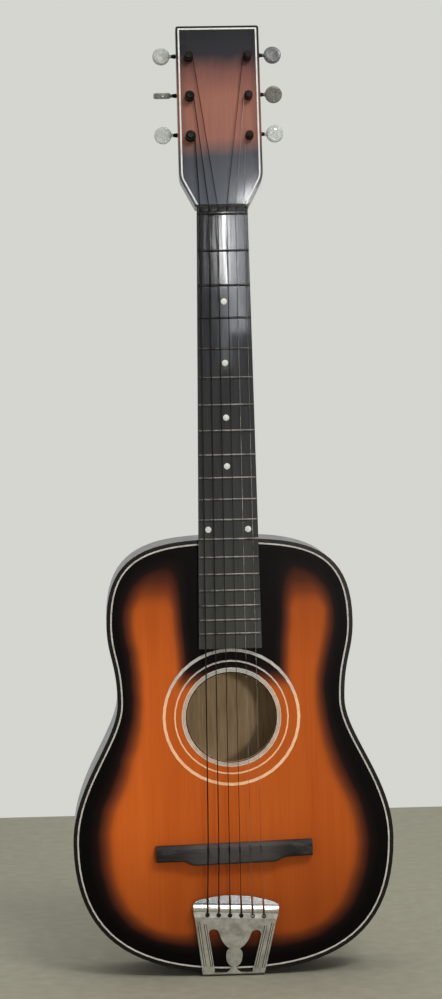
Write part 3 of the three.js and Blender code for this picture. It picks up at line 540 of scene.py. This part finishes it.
def leg_rib_material():
    """Pressed ribs: a painted highlight on the crest, which faces the front, and painted shade on the
    sides and at the foot.
    """
    shader = Shader("leg_rib_steel", metallic=1.0)
    stain = shader.noise(shader.place()[0], 120.0, detail=6.0)
    painted_light_mask = shader.span(shader.times(shader.facing()[1], -1.0), 0.80, 0.97, smooth=True)
    painted_highlight = shader.ramp(stain, (0.35, (0.70, 0.70, 0.67)), (0.65, (0.95, 0.95, 0.92)))
    # Painted light by facing: near white where the rib faces the front, near black where it turns
    # away.
    shader.colour(shader.mix(painted_light_mask, (0.05, 0.045, 0.035), painted_highlight))
    shader.roughness(shader.span(stain, 0.3, 0.7, 0.28, 0.44))
    return shader.bump(stain, 0.08, 0.08 * MM).material


def raw_wood_material():
    """Planed wood inside the body, never lacquered."""
    shader = Shader("bare_wood", specular=0.2)
    shader.colour(bare_wood_colour(shader))
    grain = shader.noise(shader.stretched(300, 300, 30), 1.0)
    shader.roughness(shader.span(grain, 0.3, 0.7, 0.7, 0.9))
    return shader.bump(grain, 0.2, 0.2 * MM).material


def fret_material():
    """Fret wire, darkened near the nut by painted shade, and dull towards the body."""
    shader = Shader("fret_steel", metallic=1.0)
    position, _, _, z = shader.place()
    stain = shader.noise(position, 120.0, detail=6.0)
    painted_shade_near_nut = shader.ramp(stain, (0.35, (0.010, 0.010, 0.011)), (0.65, (0.06, 0.06, 0.06)))
    dull = shader.ramp(stain, (0.35, (0.08, 0.08, 0.075)), (0.65, (0.25, 0.245, 0.23)))
    # Painted shade: the frets darken towards the nut.
    shader.colour(shader.mix(shader.span(z, fret_z(7), fret_z(3), 1.0, 0.0), painted_shade_near_nut, dull))
    shader.roughness(shader.span(stain, 0.3, 0.7, 0.36, 0.52))
    return shader.bump(stain, 0.08, 0.08 * MM).material


def wound_string_material():
    """Tarnished bronze winding: fine rings across the string."""
    shader = Shader("wound_string", metallic=0.6, specular=0.3)
    wave = shader.add("ShaderNodeTexWave", bands_direction="Z", wave_profile="SIN")
    shader.link(shader.place()[0], wave.inputs["Vector"])
    wave.inputs["Scale"].default_value = 700.0
    tarnish = shader.noise(shader.stretched(40, 40, 18), 1.0, detail=5.0)
    shader.colour(shader.ramp(tarnish, (0.35, (0.006, 0.005, 0.004)), (0.7, (0.028, 0.020, 0.015))))
    shader.roughness(shader.span(tarnish, 0.3, 0.7, 0.38, 0.58))
    return shader.bump(wave.outputs[1], 0.25, 0.05 * MM).material


def plain_string_material():
    """Bare steel string, tarnished in places."""
    shader = Shader("plain_string", metallic=1.0)
    tarnish = shader.noise(shader.stretched(60, 60, 24), 1.0, detail=5.0)
    shader.colour(shader.ramp(tarnish, (0.35, (0.12, 0.11, 0.10)), (0.7, (0.42, 0.41, 0.38))))
    shader.roughness(shader.span(tarnish, 0.3, 0.7, 0.25, 0.45))
    return shader.bump(tarnish, 0.05, 0.05 * MM).material


def pearl_material(name, dark, light, transmission=0.0):
    """Swirled pearl plastic for the tuner buttons; some of it lets light through."""
    shader = Shader(name, coat=0.4, coat_roughness=0.08)
    shader.surface.inputs["Transmission Weight"].default_value = transmission
    swirl = shader.noise(shader.place()[0], 160.0, detail=5.0, distortion=1.6)
    shader.colour(shader.ramp(swirl, (0.32, dark), (0.68, light)))
    shader.roughness(shader.span(swirl, 0.3, 0.7, 0.18, 0.34))
    return shader.bump(swirl, 0.05, 0.1 * MM).material


def floor_material():
    """Plain matt floor with the faintest speckle."""
    shader = Shader("plain_floor", specular=0.1)
    speckle = shader.noise(shader.place()[0], 60.0, detail=6.0)
    shader.colour(shader.ramp(speckle, (0.3, (0.255, 0.24, 0.185)), (0.7, (0.30, 0.285, 0.225))))
    shader.roughness(shader.span(speckle, 0.3, 0.7, 0.75, 0.85))
    return shader.bump(speckle, 0.02, 1 * MM).material


# ---- Mesh kit -----------------------------------------------------------------------


CREASE = math.radians(40)  # edges sharper than this stay sharp in the pieces made here


def new_piece(name, mesh_maker, material, body=BODY):
    """Makes a mesh object from a bmesh that mesh_maker fills, and rides it on a body."""
    bm = bmesh.new()
    mesh_maker(bm)
    bmesh.ops.recalc_face_normals(bm, faces=bm.faces)
    for face in bm.faces:
        face.smooth = True
    for edge in bm.edges:
        if len(edge.link_faces) == 2 and edge.calc_face_angle(0) > CREASE:
            edge.smooth = False
    mesh = bpy.data.meshes.new(name)
    bm.to_mesh(mesh)
    bm.free()
    mesh.materials.append(material)
    piece = bpy.data.objects.new(name, mesh)
    bpy.context.scene.collection.objects.link(piece)
    if body is not None:
        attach(piece, body)
    return piece


def bridge_rings(bm, rings):
    """Joins rows of points into a tube with flat ends."""
    rows = [[bm.verts.new(point) for point in ring] for ring in rings]
    count = len(rows[0])
    for first, second in zip(rows, rows[1:]):
        for i in range(count):
            j = (i + 1) % count
            bm.faces.new((first[i], first[j], second[j], second[i]))
    bm.faces.new(list(reversed(rows[0])))
    bm.faces.new(rows[-1])


def lathe(bm, profile, origin, axis, segments):
    """Turns (radius, height) pairs about an axis; the ends close on it."""
    axis = Vector(axis).normalized()
    side = axis.orthogonal().normalized()
    other = axis.cross(side)
    rings = []
    for radius, height in profile:
        ring = []
        for i in range(segments):
            angle = 2 * math.pi * i / segments
            spoke = side * math.cos(angle) + other * math.sin(angle)
            ring.append(Vector(origin) + axis * height + spoke * max(radius, 1e-5))
        rings.append(ring)
    bridge_rings(bm, rings)


def tube_along(bm, points, radius, segments):
    """A round rod through a row of points, with its rings kept from twisting."""
    rings = []
    side = None
    for i, point in enumerate(points):
        along = (points[min(i + 1, len(points) - 1)] - points[max(i - 1, 0)]).normalized()
        side = along.orthogonal() if side is None else side - along * side.dot(along)
        side = side.normalized()
        other = along.cross(side)
        ring = []
        for j in range(segments):
            angle = 2 * math.pi * j / segments
            ring.append(point + (side * math.cos(angle) + other * math.sin(angle)) * radius)
        rings.append(ring)
    bridge_rings(bm, rings)


def rounded_profile(half_width, height, fall):
    """Cross-section of a rounded bar lying on a plane, as (across, up) pairs."""
    steps = 6
    points = [(-half_width, -fall)]
    for i in range(steps + 1):
        angle = math.pi * (1 - i / steps)
        points.append((half_width * math.cos(angle), height * math.sin(angle)))
    points.append((half_width, -fall))
    return points


# ---- Smooth shading of the CAD nodes ------------------------------------------------


SMOOTH_UP_TO = 32  # degrees between two faces
BEVEL_FROM = 50  # degrees between two faces
WELD_DISTANCE = 0.002 * MM


def shading_group():
    """Geometry nodes that weld a mesh and shade it smooth up to a sharp angle."""
    group = bpy.data.node_groups.new("smooth_faces", "GeometryNodeTree")
    group.interface.new_socket("Geometry", in_out="INPUT", socket_type="NodeSocketGeometry")
    group.interface.new_socket("Geometry", in_out="OUTPUT", socket_type="NodeSocketGeometry")
    start = group.nodes.new("NodeGroupInput")
    end = group.nodes.new("NodeGroupOutput")
    weld = group.nodes.new("GeometryNodeMergeByDistance")
    weld.inputs["Distance"].default_value = WELD_DISTANCE
    faces = group.nodes.new("GeometryNodeSetShadeSmooth")
    faces.domain = "FACE"
    faces.inputs["Shade Smooth"].default_value = True
    edges = group.nodes.new("GeometryNodeSetShadeSmooth")
    edges.domain = "EDGE"
    angle = group.nodes.new("GeometryNodeInputMeshEdgeAngle")
    test = group.nodes.new("FunctionNodeCompare")
    test.data_type = "FLOAT"
    test.operation = "LESS_EQUAL"
    test.inputs[1].default_value = math.radians(SMOOTH_UP_TO)
    group.links.new(start.outputs[0], weld.inputs["Geometry"])
    group.links.new(weld.outputs[0], faces.inputs["Geometry"])
    group.links.new(faces.outputs[0], edges.inputs["Geometry"])
    group.links.new(angle.outputs["Unsigned Angle"], test.inputs[0])
    group.links.new(test.outputs[0], edges.inputs["Shade Smooth"])
    group.links.new(edges.outputs[0], end.inputs[0])
    return group


BEVELLED = {  # mm that the edges are broken by
    "bridge": 0.5,
    "fingerboard": 0.4,
    "nut": 0.3,
    "tailpiece": 0.25,
    "headstock_veneer": 0.3,
    "edge_binding": 0.4,
}


def finish_cad_nodes(material_for):
    """Gives every CAD node its material, smooth shading and, on some, softened edges."""
    group = shading_group()
    for name, node in nodes.items():
        node.data.materials.clear()
        node.data.materials.append(material_for(name))
        if name in BEVELLED:
            weld = node.modifiers.new("weld", "WELD")
            weld.merge_threshold = WELD_DISTANCE
            bevel = node.modifiers.new("edges", "BEVEL")
            bevel.width = BEVELLED[name] * MM
            bevel.segments = 2
            bevel.limit_method = "ANGLE"
            bevel.angle_limit = math.radians(BEVEL_FROM)
            bevel.use_clamp_overlap = True
        smooth = node.modifiers.new("smooth_faces", "NODES")
        smooth.node_group = group
        if name in BEVELLED:
            flat = node.modifiers.new("flat_faces", "WEIGHTED_NORMAL")
            flat.keep_sharp = True
            flat.weight = 100


# ---- Fingerboard ornaments ----------------------------------------------------------


def board_half_at(z):
    share = (z - board_low.z) / (board_high.z - board_low.z)
    nut_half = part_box("nut")[1].x
    return board_high.x + share * (nut_half - board_high.x)


FRET_CROWN = 1.15 * MM  # height, and half the width
FRET_TANG = 0.6 * MM  # how far it is let into the board
FRET_SLOPE = 0.7 * MM  # filed off each end, along and down
FRET_INSET = 0.35 * MM  # from the board's edge


def add_frets(material):
    """A zero fret and eighteen more: low rounded bars let into the board."""
    face = board_low.y
    profile = rounded_profile(FRET_CROWN, FRET_CROWN, FRET_TANG)
    for number in range(FRET_COUNT + 1):
        z = fret_z(number)
        half = board_half_at(z) - FRET_INSET
        ends = (-half, -half + FRET_SLOPE, half - FRET_SLOPE, half)
        drops = (FRET_SLOPE, 0.0, 0.0, FRET_SLOPE)

        def fill(bm, z=z, ends=ends, drops=drops):
            rings = []
            for x, drop in zip(ends, drops):
                heights = [(across, max(up - drop, -FRET_TANG)) for across, up in profile]
                rings.append([Vector((x, face - height, z + across)) for across, height in heights])
            bridge_rings(bm, rings)

        new_piece(f"fret_{number:02d}", fill, material)


DOTS = {3: (0.0,), 5: (0.0,), 7: (0.0,), 9: (0.0,), 12: (-20 * MM, 20 * MM)}
DOT_RADIUS = 3.1 * MM
DOT_PROFILE = [
    (0.0, -0.8 * MM),
    (DOT_RADIUS, -0.8 * MM),
    (DOT_RADIUS, 0.05 * MM),
    (DOT_RADIUS - 0.2 * MM, 0.15 * MM),
    (0.0, 0.2 * MM),
]


def add_dots(material):
    """Position dots, in the middle of the space above each marked fret."""
    for number, places in DOTS.items():
        z = (fret_z(number) + fret_z(number - 1)) / 2
        for i, x in enumerate(places):

            def fill(bm, place=(x, board_low.y, z)):
                lathe(bm, DOT_PROFILE, place, (0, -1, 0), segments=28)

            new_piece(f"dot_{number}_{i + 1}", fill, material)


# ---- Tuners -------------------------------------------------------------------------


def joint_place(kind, label):
    joint = joints[f"{kind}_turn_{label}"]
    return Vector(joint["pos_m"]), Vector(joint["axis"]).normalized()


BUTTON_TURN = {"bass": (8, 106, 0), "treble": (0, 28, -4)}  # degrees from the face, from the nut up
HEADSTOCK_LEAN = 12  # degrees
BUTTON_RADIUS = 8.75 * MM
BUTTON_HALF = 3.0 * MM  # of its thickness
BUTTON_RIM = 1.5 * MM  # how far its edge is rounded
BUTTON_COLLAR = [
    (1.6 * MM, -BUTTON_RADIUS - 1.5 * MM),
    (1.8 * MM, -BUTTON_RADIUS - 1.0 * MM),
    (2.0 * MM, -BUTTON_RADIUS + 0.2 * MM),
    (2.6 * MM, -BUTTON_RADIUS + 1.6 * MM),
    (2.2 * MM, -BUTTON_RADIUS + 2.6 * MM),
]


def button_profile():
    """Section of a button from its back to its front, slightly hollow in the middle of both."""
    back = [(0.0, -BUTTON_HALF + 0.25 * MM), (BUTTON_RADIUS * 0.55, -BUTTON_HALF + 0.1 * MM)]
    steps = 6
    for i in range(steps + 1):
        angle = math.pi / 2 * (i / steps - 1)
        radius = BUTTON_RADIUS - BUTTON_RIM + BUTTON_RIM * math.cos(angle)
        back.append((radius, -BUTTON_HALF + BUTTON_RIM + BUTTON_RIM * math.sin(angle)))
    return back + [(radius, -height) for radius, height in reversed(back)]


def add_buttons(finishes):
    """Round pearl buttons with a soft rim, each with a waisted collar."""
    profile = button_profile()
    for side_name, number in TUNERS:
        side = SIDES[side_name]
        label = f"{side_name}_{number}"
        low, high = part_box(f"tuner_knob_{label}")
        pin, _ = joint_place("knob", label)
        outer = high.x if side > 0 else low.x
        centre = Vector((outer - side * BUTTON_RADIUS, pin.y, pin.z))
        turn = math.radians(BUTTON_TURN[side_name][number - 1] - HEADSTOCK_LEAN)
        face = Matrix.Rotation(turn, 3, "X") @ Vector((0, -1, 0))

        def fill(bm, centre=centre, face=face, side=side):
            lathe(bm, profile, centre, face, segments=48)
            lathe(bm, BUTTON_COLLAR, centre, (side, 0, 0), segments=24)

        material = finishes[label]
        piece = new_piece(f"button_{label}", fill, material, body=f"knob_{label}")
        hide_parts(f"tuner_knob_{label}")


WINDING_RADIUS = {"bass": (0.62, 0.53, 0.45), "treble": (0.30, 0.32, 0.38)}  # mm, of the string
POST_RADIUS = 3 * MM
WINDING_FRONT, WINDING_BACK = -11.0 * MM, -2.7 * MM  # along the post, from the wood's face
TURN_STEPS = 20
TURN_PITCH = 2.05  # turns lie this many string radii apart
LAYER_RISE = 1.75  # and the second layer lies this many above the first, in the hollows


def winding_points(pin, axis, side, radius):
    """Two layers of turns: up the post to its front end, then back over the first layer."""
    across = Vector((side, 0, 0))
    up = axis.cross(across)
    front, back = WINDING_FRONT + radius, WINDING_BACK - radius
    turns = (back - front) / (TURN_PITCH * radius)
    steps = round(turns * TURN_STEPS)
    points = []
    for layer in (0, 1):
        reach = POST_RADIUS + radius * (1 + LAYER_RISE * layer)
        for i in range(steps + 1):
            share = i / steps
            depth = back + (front - back) * (share if layer == 0 else 1 - share)
            angle = 2 * math.pi * (turns * layer + i / TURN_STEPS)
            spoke = across * math.cos(angle) + up * math.sin(angle)
            points.append(pin + axis * depth + spoke * reach)
    return points


def add_windings(thick, thin):
    """The turns of each string round its post."""
    for side_name, number in TUNERS:
        label = f"{side_name}_{number}"
        radius = WINDING_RADIUS[side_name][number - 1] * MM
        pin, axis = joint_place("post", label)
        points = winding_points(pin, axis, SIDES[side_name], radius)

        def fill(bm, points=points, radius=radius):
            tube_along(bm, points, radius, segments=7)

        is_plain = side_name == "treble" and number < 3
        material = thin if is_plain else thick
        new_piece(f"winding_{label}", fill, material, body=f"post_{label}")


SHAFT_COLLAR = [
    (0.0, 0.0),
    (2.4 * MM, 0.0),
    (2.2 * MM, 1.4 * MM),
    (1.7 * MM, 4.2 * MM),
    (0.0, 4.3 * MM),
]
COLLAR_GAP = 0.15 * MM  # between the headstock's edge and the collar


def add_shaft_collars(material):
    """A cone on each tuner's shaft, just outside the headstock."""
    for side_name, number in TUNERS:
        side = SIDES[side_name]
        label = f"{side_name}_{number}"
        pin, _ = joint_place("knob", label)
        seat = Vector((side * (veneer_high.x + COLLAR_GAP), pin.y, pin.z))

        def fill(bm, seat=seat, side=side):
            lathe(bm, SHAFT_COLLAR, seat, (side, 0, 0), segments=24)

        new_piece(f"shaft_collar_{label}", fill, material, body=f"knob_{label}")


PLATE_BACK = 16.3 * MM  # from the headstock's face to the back of the tuner plates
PLATE_SCREW_SHIFT = 3 * MM  # towards the nut from midway between two posts
PLATE_SCREW = [
    (0.0, -3 * MM),
    (1.2 * MM, -3 * MM),
    (1.2 * MM, 0.0),
    (2.4 * MM, 0.0),
    (2.3 * MM, 0.5 * MM),
    (1.6 * MM, 1.0 * MM),
    (0.0, 1.2 * MM),
]


def add_plate_screws(material):
    """Two round-headed screws in each tuner plate, between the posts."""
    axis = joint_place("post", "bass_1")[1]
    for side_name in SIDES:
        first, second, third = (joint_place("post", f"{side_name}_{number}")[0] for number in NUMBERS)
        along = (third - first).normalized()
        for i, middle in enumerate(((first + second) / 2, (second + third) / 2)):
            seat = middle - along * PLATE_SCREW_SHIFT + axis * PLATE_BACK

            def fill(bm, seat=seat):
                lathe(bm, PLATE_SCREW, seat, axis, segments=24)

            new_piece(f"plate_screw_{side_name}_{i + 1}", fill, material)


# ---- Tailpiece ----------------------------------------------------------------------


RAY_START = -0.2  # in front of the whole guitar


def front_of(name, x, z):
    """The front surface of a CAD node at a place across and up."""
    tree = BVHTree.FromObject(nodes[name], bpy.context.evaluated_depsgraph_get())
    place, _, _, _ = tree.ray_cast(Vector((x, RAY_START, z)), Vector((0, 1, 0)))
    return place


LEG_LINES = (  # mm across and up before the tailpiece is tilted, each line's top and then its foot
    ((37.4, 52), (29.4, 6)),
    ((30.8, 50), (22.6, 6)),
)
RIB_RADIUS = 1.35 * MM
RIB_SINK = 0.3 * MM  # its middle lies this far behind the sheet's face
RIB_STEPS = 12


def add_leg_ribs(material):
    """Two pressed ribs down each leg of the tailpiece."""
    pivot = Vector((0, 0, (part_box("string_6")[0].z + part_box("string_1")[0].z) / 2))
    tilt = Matrix.Rotation(tail_tilt(), 3, "Y")
    for side_name, side in SIDES.items():
        for i, line in enumerate(LEG_LINES):
            ends = []
            for across, up in line:
                straight = Vector((side * across * MM, 0, TAIL_Z + up * MM)) - pivot
                ends.append(pivot + tilt @ straight)
            points = []
            for step in range(RIB_STEPS + 1):
                spot = ends[0].lerp(ends[1], step / RIB_STEPS)
                surface = front_of("tailpiece", spot.x, spot.z)
                if surface is not None:
                    points.append(surface + Vector((0, RIB_SINK, 0)))

            def fill(bm, points=points):
                tube_along(bm, points, RIB_RADIUS, segments=16)

            new_piece(f"leg_rib_{side_name}_{i + 1}", fill, material)


SLOT_HALF_LENGTH, SLOT_HALF_WIDTH = 2.2 * MM, 0.3 * MM
SLOT_DEPTHS = (0.03 * MM, 0.5 * MM)  # from the screw head's end, upwards


def add_screw_slots(material):
    """A dark bar in each tail screw's head: painted shade standing in for the recess of its slot."""
    length, width = SLOT_HALF_LENGTH, SLOT_HALF_WIDTH
    corners = [(-length, -width), (length, -width), (length, width), (-length, width)]
    for i in NUMBERS:
        low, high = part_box(f"tail_screw_{i}")
        x, y = (low.x + high.x) / 2, (low.y + high.y) / 2

        def fill(bm, x=x, y=y, z=low.z):
            rings = [[Vector((x + a, y + b, z + depth)) for a, b in corners] for depth in SLOT_DEPTHS]
            bridge_rings(bm, rings)

        new_piece(f"tail_screw_slot_{i}", fill, material)


# ---- Room, light and camera ---------------------------------------------------------


FLOOR_HALF_WIDTH, FLOOR_FRONT, FLOOR_BACK, FLOOR_THICKNESS = 4.0, -6.0, 1.0, 0.004


def add_floor(material):
    """A pale floor slab; its far edge is where a wall would stand."""
    half = FLOOR_HALF_WIDTH
    corners = [(-half, FLOOR_FRONT), (half, FLOOR_FRONT), (half, FLOOR_BACK), (-half, FLOOR_BACK)]

    def fill(bm):
        bridge_rings(bm, [[Vector((x, y, z)) for x, y in corners] for z in (-FLOOR_THICKNESS, 0.0)])

    floor = new_piece("floor", fill, material, body=None)


def add_light(name, place, target, power, width, height, colour):
    data = bpy.data.lights.new(name, "AREA")
    data.shape = "RECTANGLE"
    data.size = width
    data.size_y = height
    data.energy = power
    data.color = colour
    lamp = bpy.data.objects.new(name, data)
    bpy.context.scene.collection.objects.link(lamp)
    lamp.location = place
    lamp.rotation_mode = "QUATERNION"
    lamp.rotation_quaternion = (Vector(target) - Vector(place)).to_track_quat("-Z", "Y")


def studio_world():
    """A pale backdrop for the camera; the light itself comes from a brighter ceiling and back."""
    world = bpy.data.worlds.new("studio")
    world.use_nodes = True
    kit, links = world.node_tree.nodes, world.node_tree.links
    coordinates = kit.new("ShaderNodeTexCoord")
    split = kit.new("ShaderNodeSeparateXYZ")
    links.new(coordinates.outputs["Generated"], split.inputs[0])
    above = kit.new("ShaderNodeMapRange")
    above.interpolation_type = "SMOOTHSTEP"
    above.inputs["From Min"].default_value = 0.5
    above.inputs["From Max"].default_value = 0.95
    above.inputs["To Min"].default_value = 0.22
    above.inputs["To Max"].default_value = 1.3
    links.new(split.outputs["Z"], above.inputs["Value"])
    behind = kit.new("ShaderNodeMapRange")
    behind.inputs["From Min"].default_value = 0.1
    behind.inputs["From Max"].default_value = 0.5
    behind.inputs["To Max"].default_value = 0.66
    links.new(split.outputs["Y"], behind.inputs["Value"])
    brighter = kit.new("ShaderNodeMath")
    brighter.operation = "MAXIMUM"
    links.new(above.outputs[0], brighter.inputs[0])
    links.new(behind.outputs[0], brighter.inputs[1])
    lighting = kit["Background"]
    lighting.inputs["Color"].default_value = (0.98, 1.0, 0.97, 1.0)
    links.new(brighter.outputs[0], lighting.inputs["Strength"])
    backdrop = kit.new("ShaderNodeBackground")
    backdrop.inputs["Color"].default_value = (0.66, 0.67, 0.625, 1.0)
    ray = kit.new("ShaderNodeLightPath")
    either = kit.new("ShaderNodeMixShader")
    links.new(ray.outputs["Is Camera Ray"], either.inputs[0])
    links.new(lighting.outputs[0], either.inputs[1])
    links.new(backdrop.outputs[0], either.inputs[2])
    links.new(either.outputs[0], kit["World Output"].inputs["Surface"])
    bpy.context.scene.world = world


WHITE = (1.0, 1.0, 1.0)
COOL = (0.9, 0.95, 1.0)
MIDDLE = (0, 0, 0.5)
BOARD_TOP = (0, 0, 0.74)
LIGHTS = {  # place, target, watts, width, height and colour
    "key_light": ((1.1, -2.2, 2.9), MIDDLE, 56, 1.1, 0.8, (1.0, 0.985, 0.95)),
    "front_light": ((0.66, -3.2, 0.62), (0, 0, 0.3), 18, 0.22, 0.3, (1.0, 0.98, 0.94)),
    "fill_light": ((-2.4, -2.4, 1.2), MIDDLE, 6, 2.0, 2.0, (0.97, 0.99, 1.0)),
    # These four are small: they are there for their reflections in the board and the headstock.
    "window_strip": ((0.213, -4.6, 0.938), BOARD_TOP, 0.95, 0.018, 0.19, WHITE),
    "window_foot": ((0.213, -4.6, 0.73), (0, 0, 0.70), 0.10, 0.022, 0.22, COOL),
    "window_glow": ((0.247, -4.62, 0.88), BOARD_TOP, 0.62, 0.045, 0.33, COOL),
    "high_window": ((0.163, -2.0, 1.79), (0.02, 0, 0.79), 1.3, 0.024, 0.05, WHITE),
}


def add_lights():
    for name, settings in LIGHTS.items():
        add_light(name, *settings)
    studio_world()
    bpy.context.scene.view_settings.view_transform = "Standard"


CAMERA_DISTANCE = 2.757  # from the front face of the soundboard
CAMERA_ASIDE = -0.1257
CAMERA_HEIGHT = 0.6081  # above the tail edge
CAMERA_TURN = (87.332, 1.093, -2.528)  # degrees about X, Y and Z
CAMERA_LENS = 99.06  # mm on a sensor whose long side is 36 mm


def add_camera():
    data = bpy.data.cameras.new("camera")
    data.sensor_width = 36
    data.lens = CAMERA_LENS
    camera = bpy.data.objects.new("camera", data)
    bpy.context.scene.collection.objects.link(camera)
    camera.location = (CAMERA_ASIDE, FACE_Y - CAMERA_DISTANCE, TAIL_Z + CAMERA_HEIGHT)
    camera.rotation_euler = [math.radians(angle) for angle in CAMERA_TURN]
    bpy.context.scene.camera = camera


# ---- Assembly -----------------------------------------------------------------------

black = black_lacquer_material("black_lacquer", None)
back_black = black_lacquer_material("back_lacquer", "back")
rib_black = black_lacquer_material("rib_lacquer", "rib")
sunburst = sunburst_material()
neck_wood = neck_material()
face_veneer = headstock_material()
board_wood = board_material()
bridge_wood = bridge_material()
cream = inlay_material("aged_cream_strip", (0.42, 0.39, 0.35), (0.66, 0.63, 0.58))
white_line = inlay_material("white_line", (0.62, 0.62, 0.60), (0.84, 0.84, 0.82))
rosette_strips = rosette_material()
nickel = steel_material("nickel_steel", (0.20, 0.19, 0.17), (0.46, 0.45, 0.41), 0.36)
fret_steel = fret_material()
black_iron = steel_material("blackened_steel", (0.006, 0.005, 0.005), (0.024, 0.021, 0.019), 0.45)
rusty = steel_material("rusty_turns", (0.018, 0.007, 0.005), (0.075, 0.030, 0.020), 0.5)
wound = wound_string_material()
plain = plain_string_material()
raw_wood = raw_wood_material()
pearl_light = pearl_material("pearl_light", (0.30, 0.32, 0.30), (0.52, 0.54, 0.51))
pearl_grey = pearl_material("pearl_grey", (0.13, 0.135, 0.12), (0.26, 0.265, 0.24))
pearl_dark = pearl_material("pearl_dark", (0.06, 0.062, 0.06), (0.16, 0.165, 0.16))
pearl_clear = pearl_material("pearl_clear", (0.50, 0.53, 0.50), (0.80, 0.82, 0.79), transmission=0.5)

EXACT = {
    "soundboard": sunburst,
    "back_plate": back_black,
    "rib_bass": rib_black,
    "rib_treble": rib_black,
    "edge_binding": black,
    "neck": neck_wood,
    "fingerboard": board_wood,
    "nut": black,
    "headstock_veneer": face_veneer,
    "bridge": bridge_wood,
    "tailpiece": tailpiece_material(),
    "neck_bar": nickel,
    "string_1": plain,
    "string_2": plain,
}
STARTS = {
    "rosette": rosette_strips,
    "edge_purfling": cream,
    "headstock_line": white_line,
    "tail_screw": nickel,
    "tuner_plate": nickel,
    "tuner_worm": black_iron,
    "tuner_post": black_iron,
    "tuner_knob": pearl_grey,
    "string": wound,
}


def material_of(name):
    if name in EXACT:
        return EXACT[name]
    for start, material in STARTS.items():
        if name.startswith(start):
            return material
    return raw_wood


finish_cad_nodes(material_of)
add_frets(fret_steel)
add_dots(white_line)
add_buttons(
    {
        "bass_1": pearl_clear,
        "bass_2": pearl_grey,
        "bass_3": pearl_light,
        "treble_1": pearl_clear,
        "treble_2": pearl_grey,
        "treble_3": pearl_dark,
    }
)
add_windings(wound, rusty)
add_shaft_collars(black_iron)
add_leg_ribs(leg_rib_material())
add_plate_screws(nickel)
add_screw_slots(black_iron)
add_floor(floor_material())
add_lights()
add_camera()
